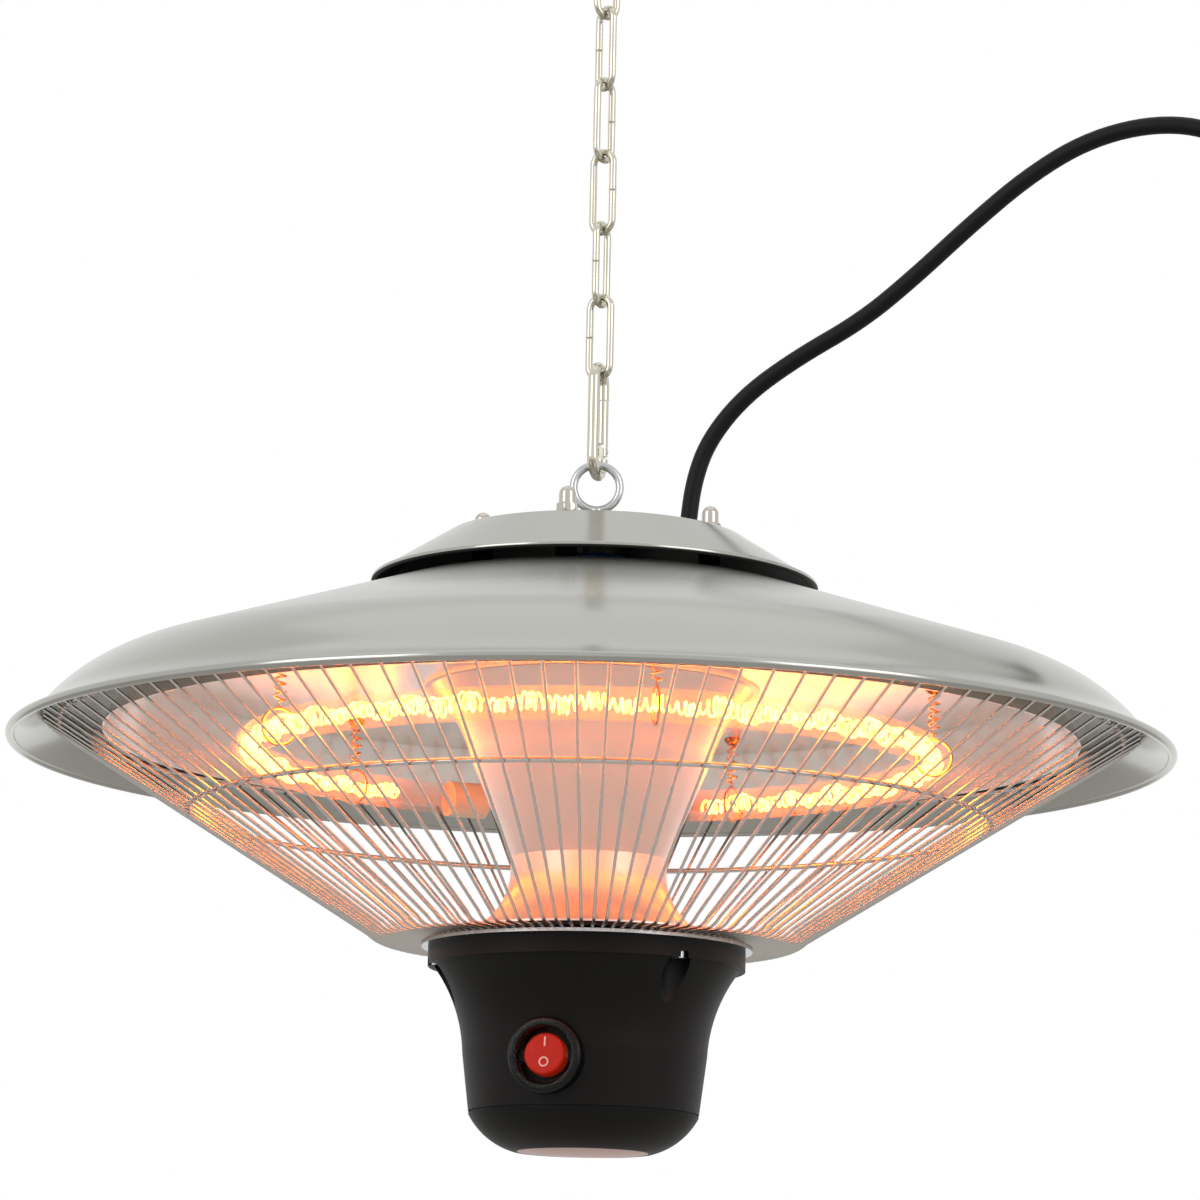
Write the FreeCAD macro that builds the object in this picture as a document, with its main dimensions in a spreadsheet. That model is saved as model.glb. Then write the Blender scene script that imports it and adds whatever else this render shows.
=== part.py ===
"""A ceiling infrared heater that hangs on a chain: every piece is a solid of its own, in millimetres.

The origin is on the ceiling, on the axis of the anchor, with Z up. The heater hangs below it. Heights of
the heater's own pieces are measured from the plane of the shade's rolled rim, which is lifted into place
by the lengths of the anchor hook, the chain, the snap hook and the eye.
"""
import FreeCAD, Part
import Sketcher
import math
import os

Vector = FreeCAD.Vector
UP = Vector(0, 0, 1)

# Driving sizes, in millimetres, degrees and counts
SIZES = {
    # ceiling anchor
    "anchor_reach": 34.0,
    "anchor_wire": 5.0,
    "anchor_bow": 9.5,
    "anchor_neck_bend": 6.0,
    "sleeve_diameter": 8.0,
    "sleeve_length": 30.0,
    "sleeve_seat_depth": 0.4,
    "sleeve_seat_room": 1.0,
    "anchor_washer_diameter": 16.0,
    "anchor_washer_thickness": 1.2,
    "anchor_nut_flats": 8.0,
    "anchor_nut_height": 4.0,
    # chain
    "link_wire": 2.7,
    "link_inside_length": 28.0,
    "link_inside_width": 6.4,
    "link_count": 6.0,
    "link_gap": 0.25,
    # snap hook
    "snap_wire": 4.2,
    "snap_length": 40.5,
    "snap_bow": 6.5,
    "snap_yaw": 74.0,
    "gate_diameter": 4.0,
    "gate_length": 19.0,
    "gate_pivot_height": 10.0,
    "gate_tongue": 1.6,
    "gate_tongue_top": 1.5,
    "gate_rivet_diameter": 1.6,
    "gate_end_room": 2.9,
    "gate_tail": 1.7,
    "gate_nose_gap": 0.5,
    "gate_slot_depth": 3.2,
    # eye bolt
    "eye_wire": 3.0,
    "eye_bow": 8.5,
    "eye_stand": 27.7,
    "eye_shank": 5.0,
    "eye_nut_flats": 8.0,
    "eye_nut_height": 4.0,
    "eye_washer_diameter": 15.0,
    "eye_washer_thickness": 1.0,
    # top cover
    "cover_radius": 82.0,
    "vent_gap": 3.9,
    "cover_top_radius": 54.0,
    "cover_rise": 17.6,
    "cover_gauge": 1.0,
    "cover_bead": 1.2,
    # clamping bolts
    "bolt_circle": 43.0,
    "bolt_diameter": 5.0,
    "bolt_first_angle": -14.0,
    "bolt_head_flats": 8.0,
    "bolt_head_height": 3.5,
    "cap_nut_flats": 8.0,
    "cap_nut_skirt": 5.0,
    "cap_nut_dome": 5.0,
    "cap_washer_diameter": 11.0,
    "cap_washer_thickness": 1.0,
    "spacer_diameter": 8.0,
    # shade
    "rim_radius": 212.5,
    "rim_bead": 1.7,
    "crown_height": 58.5,
    "crown_radius": 77.0,
    "crown_hole": 30.0,
    "shoulder_inset": 37.5,
    "shoulder_start_height": 27.0,
    "shoulder_round": 62.0,
    "flare_inset": 12.0,
    "flare_start_height": 8.2,
    "flare_round": 26.0,
    "shade_gauge": 1.2,
    # inner reflector
    "reflector_inset": 35.5,
    "reflector_lip_height": 3.6,
    "reflector_skirt_width": 21.0,
    "reflector_ceiling_height": 24.0,
    "reflector_round": 30.0,
    "reflector_hole": 36.0,
    "reflector_gauge": 0.8,
    # centre column and trumpet reflector
    "column_low_radius": 28.4,
    "column_low_height": -39.0,
    "column_high_radius": 43.5,
    "column_high_height": -3.0,
    "column_flange_radius": 58.0,
    "column_flare_round": 60.0,
    "column_gauge": 0.8,
    "trumpet_collar": 6.0,
    "trumpet_round": 24.0,
    "trumpet_edge_radius": 47.0,
    "trumpet_edge_height": -67.0,
    "trumpet_gauge": 0.8,
    # guard
    "guard_wire": 1.15,
    "guard_wire_count": 108.0,
    "guard_inset": 13.5,
    "guard_top_height": 7.6,
    "guard_bend_radius": 75.0,
    "guard_foot_radius": 56.5,
    "guard_foot_height": -70.0,
    "guard_bend_round": 10.0,
    "guard_mid_radius": 146.0,
    "guard_mid_wire": 2.0,
    "guard_top_wire": 2.5,
    "guard_flange_inside": 47.0,
    "guard_flange_outside": 60.0,
    "guard_flange_gauge": 1.2,
    "spacer_ring_inside": 45.0,
    "spacer_ring_outside": 57.0,
    "contact_gap": 0.05,
    # heating element
    "tube_ring_radius": 125.0,
    "tube_height": -1.5,
    "tube_diameter": 12.0,
    "tube_wall": 1.0,
    "tube_start_angle": -154.0,
    "tube_end_angle": 168.0,
    "filament_coil": 7.4,
    "filament_wire": 0.9,
    "filament_turns": 70.0,
    "filament_inset_angle": 4.0,
    "end_cap_diameter": 13.6,
    "end_cap_length": 15.0,
    "lead_diameter": 2.4,
    "lead_reach": 7.0,
    "lead_round": 5.0,
    "hoop_wire": 1.0,
    "hoop_count": 5.0,
    "hoop_first_angle": -62.0,
    "spring_wire": 0.8,
    "spring_coil": 4.6,
    "spring_turns": 5.0,
    # lower housing
    "lip_radius": 57.5,
    "lip_height": 7.0,
    "housing_waist_radius": 44.2,
    "housing_waist_height": -110.0,
    "housing_flank_round": 56.0,
    "housing_seam_radius": 41.6,
    "housing_seam_height": -131.0,
    "housing_wall": 2.2,
    "seam_groove": 0.8,
    "cap_round": 26.0,
    "lens_radius": 23.6,
    "lens_height": -145.0,
    "lens_crown": 1.2,
    "lens_edge": 1.0,
    "screw_circle": 52.5,
    "screw_first_angle": 37.0,
    "screw_diameter": 4.0,
    "screw_length": 10.6,
    "screw_head_diameter": 7.6,
    "screw_head_height": 2.4,
    "screw_pocket_diameter": 10.5,
    "screw_pocket_depth": 20.0,
    "screw_pocket_wall": 1.8,
    # rocker switch
    "switch_angle": -18.0,
    "switch_height": -114.0,
    "switch_face": 47.5,
    "bezel_diameter": 27.0,
    "bezel_bore": 19.6,
    "bezel_lip": 2.4,
    "bezel_stem": 22.0,
    "rocker_diameter": 15.0,
    "rocker_set_back": 1.0,
    "rocker_edge_round": 0.8,
    "rocker_tilt": 8.0,
    "rocker_pin_diameter": 2.0,
    "rocker_pin_stand": 2.7,
    "rocker_lug": 1.2,
    "switch_cover_radius": 10.6,
    "switch_cover_rise": 4.4,
    "switch_cover_rim": 1.6,
    "switch_cover_wall": 0.8,
    "switch_body_length": 16.0,
    "switch_tab_length": 7.0,
    "switch_tab_width": 4.8,
    "switch_tab_gauge": 0.8,
    "switch_tab_spacing": 5.6,
    # control board and receiver
    "board_radius": 30.0,
    "board_gauge": 1.6,
    "board_height": -134.0,
    "receiver_side": 9.0,
    # wiring
    "terminal_length": 26.0,
    "terminal_width": 16.0,
    "terminal_height": 12.0,
    "terminal_left": -36.0,
    "terminal_front": -4.0,
    "terminal_pitch": 7.0,
    "terminal_offset": 3.0,
    "supply_wire": 2.4,
    "supply_pitch": 3.2,
    "supply_rise": 6.5,
    "supply_bow_rise": 10.0,
    "supply_bow": 30.0,
    "supply_bow_side": 2.0,
    "supply_lead": 16.0,
    "supply_stub": 2.5,
    "harness_diameter": 5.0,
    "harness_lead": 4.0,
    # cord, its coil and its plug
    "cord_diameter": 6.8,
    "gland_inset": 10.0,
    "gland_angle": 170.0,
    "gland_relief_length": 20.0,
    "gland_flange_diameter": 17.0,
    "gland_flange_thickness": 2.0,
    "gland_stem_diameter": 12.0,
    "gland_stem_length": 5.0,
    "cord_run_out": 12.0,
    "coil_run_in": 18.0,
    "coil_run_off": 20.0,
    "coil_angle": 222.0,
    "coil_outer_radius": 46.0,
    "coil_pitch": 7.5,
    "coil_whole_turns": 4.0,
    "coil_start_angle": -48.0,
    "coil_end_angle": 90.0,
    "coil_room": 1.5,
    "coil_seat": 0.8,
    "tie_width": 5.0,
    "tie_thickness": 1.0,
    "tie_room": 0.3,
    "plug_radius": 15.5,
    "plug_face_thickness": 8.0,
    "plug_grip_radius": 8.0,
    "plug_body_length": 30.0,
    "plug_relief_length": 24.0,
    "plug_relief_radius": 7.0,
    "plug_pin_diameter": 4.8,
    "plug_pin_length": 19.0,
    "plug_pin_spacing": 19.0,
    # fits
    "running_gap": 0.05,
    "seat_gap": 0.3,
}

doc = FreeCAD.newDocument("CeilingInfraredHeater")
sheet = doc.addObject("Spreadsheet::Sheet", "Sizes")
for row, (alias, number) in enumerate(SIZES.items(), start=1):
    sheet.set(f"A{row}", alias)
    sheet.set(f"B{row}", str(number))
    sheet.setAlias(f"B{row}", alias)
doc.recompute()


class Size:
    """A number from the sheet, or worked out from such numbers, with the expression that gives it."""

    def __init__(self, value, text):
        self.value = float(value)
        self.text = text

    def __add__(self, other):
        other = as_size(other)
        return Size(self.value + other.value, f"({self.text} + {other.text})")

    def __sub__(self, other):
        other = as_size(other)
        return Size(self.value - other.value, f"({self.text} - {other.text})")

    def __mul__(self, other):
        other = as_size(other)
        return Size(self.value * other.value, f"({self.text} * {other.text})")

    def __truediv__(self, other):
        other = as_size(other)
        return Size(self.value / other.value, f"({self.text} / {other.text})")

    def __radd__(self, other):
        return as_size(other) + self

    def __rsub__(self, other):
        return as_size(other) - self

    def __rmul__(self, other):
        return as_size(other) * self

    def __neg__(self):
        return as_size(0) - self

    def __float__(self):
        return self.value


def as_size(number):
    """A plain number as a Size, so that both kinds can be mixed in a sum."""
    if isinstance(number, Size):
        return number
    return Size(number, repr(float(number)))


class Named:
    """The sheet's sizes by name."""

    def __getattr__(self, alias):
        return Size(sheet.get(alias), f"Sizes.{alias}")


z = Named()
nodes = []
made = 0


def node(label, thing):
    """Registers a finished sub-part under the name of its file."""
    thing.Label = label
    nodes.append(thing)
    return thing


def add(kind):
    """A new object of the document with a name of its own."""
    global made
    made += 1
    return doc.addObject(kind, f"Piece{made}")


def root(size):
    """The square root of a size."""
    return Size(math.sqrt(size.value), f"sqrt({size.text})")


def around(radius, angle):
    """X and Y of a place at an angle from the front, counted towards +X."""
    radius = as_size(radius)
    angle = as_size(angle)
    sine = math.sin(math.radians(angle.value))
    cosine = math.cos(math.radians(angle.value))
    x = Size(radius.value * sine, f"({radius.text} * sin({angle.text} * 1 deg))")
    y = Size(-radius.value * cosine, f"(-1 * {radius.text} * cos({angle.text} * 1 deg))")
    return x, y


def bind(thing, **sizes):
    """Sets properties and ties those that come from the sheet to it."""
    for name, size in sizes.items():
        setattr(thing, name, float(size))
        if isinstance(size, Size):
            thing.setExpression(name, size.text)
    return thing


def put(thing, x=0, y=0, h=0, turn=None):
    """Places a thing at x, y and a height, tied to the sheet, with an optional fixed turn."""
    thing.Placement = FreeCAD.Placement(Vector(float(x), float(y), float(h)), turn or FreeCAD.Rotation())
    for axis, size in zip("xyz", (x, y, h)):
        if isinstance(size, Size):
            thing.setExpression(f"Placement.Base.{axis}", size.text)
    return thing


def turn_about_z(thing, angle):
    """Turns a thing about Z by an angle that is tied to the sheet."""
    thing.Placement = FreeCAD.Placement(thing.Placement.Base, FreeCAD.Rotation(UP, float(angle)))
    thing.setExpression("Placement.Rotation.Angle", f"{angle.text} * 1 deg")
    return thing


def cylinder(radius, height, x=0, y=0, h=0, turn=None):
    return put(bind(add("Part::Cylinder"), Radius=radius, Height=height), x, y, h, turn)


def sphere(radius, x=0, y=0, h=0):
    return put(bind(add("Part::Sphere"), Radius=radius), x, y, h)


def box(length, width, height, x=0, y=0, h=0):
    return put(bind(add("Part::Box"), Length=length, Width=width, Height=height), x, y, h)


def torus(ring, wire, x=0, y=0, h=0, turn=None):
    return put(bind(add("Part::Torus"), Radius1=ring, Radius2=wire), x, y, h, turn)


def hexagon(flats, height, x=0, y=0, h=0):
    prism = bind(add("Part::Prism"), Circumradius=flats / math.sqrt(3), Height=height)
    prism.Polygon = 6
    return put(prism, x, y, h)


def cut(base, *tools):
    for tool in tools:
        result = add("Part::Cut")
        result.Base = base
        result.Tool = tool
        base = result
    return base


def fuse(*things):
    result = add("Part::MultiFuse")
    result.Shapes = list(things)
    return result


def common(first, second):
    result = add("Part::Common")
    result.Base = first
    result.Tool = second
    return result


def group(*things):
    result = add("Part::Compound")
    result.Links = list(things)
    return result


def washer(outer, bore, height, x=0, y=0, h=0):
    return cut(cylinder(outer / 2, height, x, y, h), cylinder(bore / 2, height, x, y, h))


def arc_centre(start, end, radius, side):
    """Centre of the arc from start to end that bulges to the left (side 1) or right (-1) of the way."""
    chord = end.sub(start)
    half = chord.Length / 2
    big = abs(side) > 1
    left = Vector(-chord.y, chord.x, 0).normalize()
    away = math.sqrt(max(radius ** 2 - half ** 2, 0))
    towards = math.copysign(1, side) * (1 if big else -1)
    return (start + end) * 0.5 + left * (away * towards)


def draw(sketch, outline):
    """Draws a closed outline of corners (x, y) or, reached by an arc, (x, y, radius, side).

    Side is 1 where the arc bulges to the left of the way and -1 to the right, doubled where it is more
    than a half circle. Every corner and radius is a constraint that the sheet drives.
    """
    corners = [Vector(float(c[0]), float(c[1]), 0) for c in outline]
    ends = []
    for i, corner in enumerate(outline):
        start = corners[i - 1]
        end = corners[i]
        if len(corner) == 2:
            sketch.addGeometry(Part.LineSegment(start, end))
            ends.append((1, 2))
            continue
        radius = float(corner[2])
        centre = arc_centre(start, end, radius, corner[3])
        first, last = (end, start) if corner[3] > 0 else (start, end)
        a = math.atan2(first.y - centre.y, first.x - centre.x)
        b = math.atan2(last.y - centre.y, last.x - centre.x)
        b += 2 * math.pi if b < a else 0
        sketch.addGeometry(Part.ArcOfCircle(Part.Circle(centre, Vector(0, 0, 1), radius), a, b))
        ends.append((2, 1) if corner[3] > 0 else (1, 2))
    count = len(outline)
    for i in range(count):
        after = (i + 1) % count
        sketch.addConstraint(Sketcher.Constraint("Coincident", i, ends[i][1], after, ends[after][0]))
    for i, corner in enumerate(outline):
        for kind, axis, size in (("DistanceX", -2, corner[0]), ("DistanceY", -1, corner[1])):
            if float(size) == 0 and not isinstance(size, Size):
                sketch.addConstraint(Sketcher.Constraint("PointOnObject", i, ends[i][1], axis))
                continue
            which = sketch.addConstraint(Sketcher.Constraint(kind, -1, 1, i, ends[i][1], float(size)))
            if isinstance(size, Size):
                sketch.setExpression(f"Constraints[{which}]", size.text)
        if len(corner) == 4:
            which = sketch.addConstraint(Sketcher.Constraint("Radius", i, float(corner[2])))
            sketch.setExpression(f"Constraints[{which}]", as_size(corner[2]).text)


def turned(name, outline, h=0):
    """A body turned about Z from an outline of corners (radius, height), as draw takes them."""
    body = doc.addObject("PartDesign::Body", name)
    sketch = body.newObject("Sketcher::SketchObject", f"{name}_outline")
    plane = [f for f in body.Origin.OriginFeatures if f.Role == "XZ_Plane"][0]
    sketch.AttachmentSupport = [(plane, "")]
    sketch.MapMode = "FlatFace"
    draw(sketch, outline)
    turning = body.newObject("PartDesign::Revolution", f"{name}_turning")
    turning.Profile = sketch
    turning.ReferenceAxis = (sketch, ["V_Axis"])
    turning.Angle = 360
    body.Tip = turning
    return put(body, h=h)


def from_shape(shape, x=0, y=0, h=0):
    """A sub-part whose shape is worked out here, for wires and windings."""
    feature = add("Part::Feature")
    feature.Shape = shape
    lift = FreeCAD.Placement(Vector(float(x), float(y), float(h)), FreeCAD.Rotation())
    feature.Placement = lift.multiply(shape.Placement)
    return feature


def tube_along(edges, radius):
    """A round solid wire along edges that meet in tangents."""
    path = Part.Wire(edges)
    start = edges[0].valueAt(edges[0].FirstParameter)
    way = edges[0].tangentAt(edges[0].FirstParameter)
    shell = Part.BRepOffsetAPI.MakePipeShell(path)
    shell.add(Part.Wire([Part.makeCircle(radius, start, way)]))
    shell.build()
    shell.makeSolid()
    solid = shell.shape()
    length = sum(edge.Length for edge in edges)
    section = math.pi * radius ** 2
    if abs(solid.Volume / (section * length) - 1) > 0.02:
        raise ValueError(f"a tube of {length:.1f} mm came out with {solid.Volume:.1f} mm3")
    return solid


def rounded_path(points, radius=None):
    """Straight runs with a tangent arc at each corner, of a given radius or as large as the runs allow."""
    edges = []
    radii = []
    here = points[0]
    for i in range(1, len(points) - 1):
        back = points[i - 1].sub(points[i])
        onward = points[i + 1].sub(points[i])
        half_turn = (math.pi - back.getAngle(onward)) / 2
        reach = 0.45 * min(back.Length, onward.Length)
        if radius is not None:
            reach = radius * math.tan(half_turn)
        radii.append(reach / math.tan(half_turn))
        first = points[i] + back.normalize() * reach
        last = points[i] + onward.normalize() * reach
        middle = (first + last) * 0.5
        bow = math.cos(half_turn)
        edges.append(Part.LineSegment(here, first).toShape())
        edges.append(Part.Arc(first, (middle + points[i] * bow) * (1 / (1 + bow)), last).toShape())
        here = last
    edges.append(Part.LineSegment(here, points[-1]).toShape())
    return edges, radii


def biarcs(points, ways):
    """Pairs of tangent arcs through points, each with the way the wire runs there."""
    edges = []
    for i in range(len(points) - 1):
        start, end = points[i], points[i + 1]
        first, last = ways[i], ways[i + 1]
        chord = end.sub(start)
        both = first + last
        a = 2 * (first.dot(last) - 1)
        b = -2 * chord.dot(both)
        c = chord.dot(chord)
        if abs(a) < 1e-9:
            reach = -c / b
        else:
            reach = (-b - math.sqrt(b * b - 4 * a * c)) / (2 * a)
        corners = (start + first * reach, end - last * reach)
        joint = (corners[0] + corners[1]) * 0.5
        for one, corner, two in ((start, corners[0], joint), (joint, corners[1], end)):
            middle = (one + two) * 0.5
            bow = one.sub(middle).Length / one.sub(corner).Length
            if bow > 1 - 1e-9:
                edges.append(Part.LineSegment(one, two).toShape())
            else:
                edges.append(Part.Arc(one, (middle + corner * bow) * (1 / (1 + bow)), two).toShape())
    return edges


def straight_ended(points, ways, length):
    """Tangent arcs through points, with a straight stretch before the first and after the last."""
    first = Part.LineSegment(points[0] - ways[0] * length, points[0]).toShape()
    last = Part.LineSegment(points[-1], points[-1] + ways[-1] * length).toShape()
    return [first, *biarcs(points, ways), last]


def way_along(place, t, step=1e-4):
    """The direction in which a place that depends on t moves."""
    return place(t + step).sub(place(t - step)).normalize()


def least_gap(edges, wire, turn_length):
    """The smallest gap between a winding's own turns, measured on points along it."""
    points = []
    for edge in edges:
        count = max(2, int(edge.Length / (0.5 * wire)))
        points += edge.discretize(count)[:-1]
    along = [0.0]
    for one, two in zip(points, points[1:]):
        along.append(along[-1] + two.sub(one).Length)
    least = 1e9
    for i, point in enumerate(points):
        for j in range(i + 1, len(points)):
            apart = along[j] - along[i]
            if apart < 0.45 * turn_length:
                continue
            if apart > 4.2 * turn_length:
                break
            least = min(least, points[j].sub(point).Length)
    return least - wire


# Heights down the chain, from the ceiling to the plane of the shade's rim
saddle = -z.anchor_reach
link_drop = z.link_inside_length + z.link_wire
first_link_top = saddle + z.anchor_wire / 2 + z.link_wire / 2 + z.link_gap
last_link_bottom = first_link_top - link_drop - (z.link_count - 1) * (z.link_inside_length - z.link_gap)
snap_top = last_link_bottom + z.link_wire / 2 + z.snap_wire / 2 + z.link_gap
snap_bottom = snap_top - z.snap_length
eye_top = snap_bottom + z.snap_wire / 2 + z.eye_wire / 2 + z.link_gap
cover_bead_height = z.crown_height + z.vent_gap
cover_top = cover_bead_height + z.cover_rise
cover_under = cover_top - z.cover_gauge
eye_height = cover_top + z.eye_stand
rim = eye_top - eye_height
print(f"rim plane at {float(rim):.2f} mm, eye at {float(eye_top):.2f}, snap hook at {float(snap_top):.2f}")


def flat(x, h, yaw):
    """A point at x and height h of an upright plane that is turned about Z by yaw."""
    a = math.radians(yaw)
    return Vector(x * math.cos(a), x * math.sin(a), h)


# Ceiling anchor: hook bolt in an expansion sleeve, with washer and nut
ANCHOR_YAW = -52.0
bow = float(z.anchor_bow)
neck = float(z.anchor_neck_bend)
bow_height = float(saddle) + bow
opening = math.acos(-neck / (bow + neck))
neck_height = bow_height + (bow + neck) * math.sin(opening)
hook_tip = 2 * math.pi + math.radians(48.0)


def on_bow(angle):
    return flat(bow * math.cos(angle), bow_height + bow * math.sin(angle), ANCHOR_YAW)


def on_neck(angle):
    return flat(-neck + neck * math.cos(angle), neck_height - neck * math.sin(angle), ANCHOR_YAW)


neck_turn = math.pi - opening
hook_edges = [
    Part.LineSegment(Vector(0, 0, float(z.sleeve_length)), on_neck(0)).toShape(),
    Part.Arc(on_neck(0), on_neck(neck_turn / 2), on_neck(neck_turn)).toShape(),
    Part.Arc(on_bow(opening), on_bow((opening + hook_tip) / 2), on_bow(hook_tip)).toShape(),
]
node("anchor_hook", from_shape(tube_along(hook_edges, float(z.anchor_wire / 2))))
anchor_bore = z.anchor_wire + 2 * z.running_gap
sleeve_low = -z.sleeve_seat_depth
node("anchor_sleeve", washer(z.sleeve_diameter, anchor_bore, z.sleeve_length - sleeve_low, h=sleeve_low))
anchor_plate = washer(z.anchor_washer_diameter, anchor_bore, z.anchor_washer_thickness,
                      h=-z.anchor_washer_thickness)
sleeve_seat = cylinder(z.sleeve_diameter / 2 + z.sleeve_seat_room, z.sleeve_seat_depth, h=sleeve_low)
node("anchor_washer", cut(anchor_plate, sleeve_seat))
nut_height = -z.anchor_washer_thickness - z.anchor_nut_height
node("anchor_nut", cut(hexagon(z.anchor_nut_flats, z.anchor_nut_height, h=nut_height),
                       cylinder(anchor_bore / 2, z.anchor_nut_height, h=nut_height)))

# Chain: the links hang with a slight twist, each about square to the next
LINK_YAWS = (38.0, -56.0, 53.0, -38.0, 63.0, -33.0)
link_bow = float(z.link_inside_width + z.link_wire) / 2
for k in range(int(float(z.link_count))):
    top = float(first_link_top) - k * float(z.link_inside_length - z.link_gap)
    bottom = top - float(link_drop)
    yaw = LINK_YAWS[k % len(LINK_YAWS)]
    corners = [
        flat(link_bow, bottom + link_bow, yaw), flat(link_bow, top - link_bow, yaw), flat(0, top, yaw),
        flat(-link_bow, top - link_bow, yaw), flat(-link_bow, bottom + link_bow, yaw), flat(0, bottom, yaw),
    ]
    link_edges = [
        Part.LineSegment(corners[0], corners[1]).toShape(),
        Part.Arc(corners[1], corners[2], corners[3]).toShape(),
        Part.LineSegment(corners[3], corners[4]).toShape(),
        Part.Arc(corners[4], corners[5], corners[0]).toShape(),
    ]
    node(f"chain_link_{k + 1}", from_shape(tube_along(link_edges, float(z.link_wire / 2))))

# Snap hook: bent frame, gate and gate rivet, all in one upright plane
snap_yaw = float(z.snap_yaw)
side = float(z.snap_bow)
pivot = float(snap_bottom + z.gate_pivot_height)
gate_tail = float(z.gate_tail)
gate_top = pivot + float(z.gate_length)
nose = gate_top + float(z.gate_nose_gap)
frame_end = pivot - float(z.gate_end_room)
high = float(snap_top)
low = float(snap_bottom)
snap_edges = [
    Part.LineSegment(Vector(side, 0, nose), Vector(side, 0, high - side)).toShape(),
    Part.Arc(Vector(side, 0, high - side), Vector(0, 0, high), Vector(-side, 0, high - side)).toShape(),
    Part.LineSegment(Vector(-side, 0, high - side), Vector(-side, 0, low + side)).toShape(),
    Part.Arc(Vector(-side, 0, low + side), Vector(0, 0, low), Vector(side, 0, low + side)).toShape(),
    Part.LineSegment(Vector(side, 0, low + side), Vector(side, 0, frame_end)).toShape(),
]
tongue_gauge = float(z.gate_tongue)
tongue_width = 0.85 * float(z.gate_diameter)
rivet_radius = float(z.gate_rivet_diameter) / 2
tongue_low = frame_end - tongue_gauge
tongue = Part.makeBox(tongue_width, tongue_gauge, pivot + float(z.gate_tongue_top) - tongue_low)
tongue.translate(Vector(side - tongue_width / 2, -tongue_gauge / 2, tongue_low))
gate_radius = float(z.gate_diameter) / 2
rivet_half = gate_radius + 0.1


def across(radius, half_length):
    """A round bar through the pivot, square to the snap hook's plane."""
    return Part.makeCylinder(radius, 2 * half_length, Vector(side, -half_length, pivot), Vector(0, 1, 0))


snap_frame = tube_along(snap_edges, float(z.snap_wire / 2)).fuse(tongue)
snap_frame = snap_frame.cut(across(rivet_radius, 2 * rivet_half))
gate = Part.makeCylinder(gate_radius, gate_top - pivot + gate_tail, Vector(side, 0, pivot - gate_tail))
slot_width = tongue_gauge + 2 * float(z.seat_gap)
slot = Part.makeBox(4 * gate_radius, slot_width, gate_tail + float(z.gate_slot_depth))
slot.translate(Vector(side - 2 * gate_radius, -slot_width / 2, pivot - gate_tail))
gate = gate.cut(slot).cut(across(rivet_radius + float(z.running_gap), 2 * rivet_half))
gate_rivet = across(rivet_radius, rivet_half)
for label, shape in (("snap_hook", snap_frame), ("snap_gate", gate), ("gate_rivet", gate_rivet)):
    shape.rotate(Vector(0, 0, 0), Vector(0, 0, 1), snap_yaw)
    node(label, from_shape(shape.removeSplitter()))


def hang(thing):
    """Lifts a piece that was made from the plane of the rim into its place under the chain."""
    whole = thing if thing.Placement.isIdentity() else group(thing)
    return put(whole, h=rim)


# Eye bolt: a ring in the plane of X and Z on a threaded shank, with a nut and washer each side of the cover
eye_ring_height = eye_height - z.eye_bow
UPRIGHT = FreeCAD.Rotation(Vector(1, 0, 0), 90)
eye_ring = torus(z.eye_bow, z.eye_wire / 2, h=eye_ring_height, turn=UPRIGHT)
shank_low = cover_under - z.eye_washer_thickness - z.eye_nut_height - z.eye_wire
shank_high = eye_ring_height - z.eye_bow
eye_shank = cylinder(z.eye_shank / 2, shank_high - shank_low, h=shank_low)
node("eye_bolt", hang(fuse(eye_ring, eye_shank)))
shank_bore = z.eye_shank + 2 * z.running_gap
lower_nut = cover_under - z.eye_washer_thickness - z.eye_nut_height
upper_nut = cover_top + z.eye_washer_thickness
node("eye_washers", hang(group(*[
    washer(z.eye_washer_diameter, shank_bore, z.eye_washer_thickness, h=height)
    for height in (cover_top, cover_under - z.eye_washer_thickness)])))
node("eye_nuts", hang(group(*[
    cut(hexagon(z.eye_nut_flats, z.eye_nut_height, h=height),
        cylinder(shank_bore / 2, z.eye_nut_height, h=height))
    for height in (upper_nut, lower_nut)])))

# Clamping bolts: reflector, spacer, shade crown, spacer and top cover, under four cap nuts
BOLTS = 4
bolt_places = [around(z.bolt_circle, z.bolt_first_angle + 360 / BOLTS * k) for k in range(BOLTS)]
bolt_bore = z.bolt_diameter + 2 * z.running_gap
reflector_top = z.reflector_ceiling_height + z.reflector_gauge
crown_under = z.crown_height - z.shade_gauge
cap_seat = cover_top + z.cap_washer_thickness
bolt_top = cap_seat + z.cap_nut_skirt
bolt_seat = z.reflector_ceiling_height
node("clamp_bolts", hang(group(*[
    fuse(hexagon(z.bolt_head_flats, z.bolt_head_height, x, y, bolt_seat - z.bolt_head_height),
         cylinder(z.bolt_diameter / 2, bolt_top - bolt_seat, x, y, bolt_seat))
    for x, y in bolt_places])))
node("lower_spacers", hang(group(*[
    washer(z.spacer_diameter, bolt_bore, crown_under - reflector_top, x, y, reflector_top)
    for x, y in bolt_places])))
node("upper_spacers", hang(group(*[
    washer(z.spacer_diameter, bolt_bore, cover_under - z.crown_height, x, y, z.crown_height)
    for x, y in bolt_places])))
node("cap_washers", hang(group(*[
    washer(z.cap_washer_diameter, bolt_bore, z.cap_washer_thickness, x, y, cover_top)
    for x, y in bolt_places])))


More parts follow.
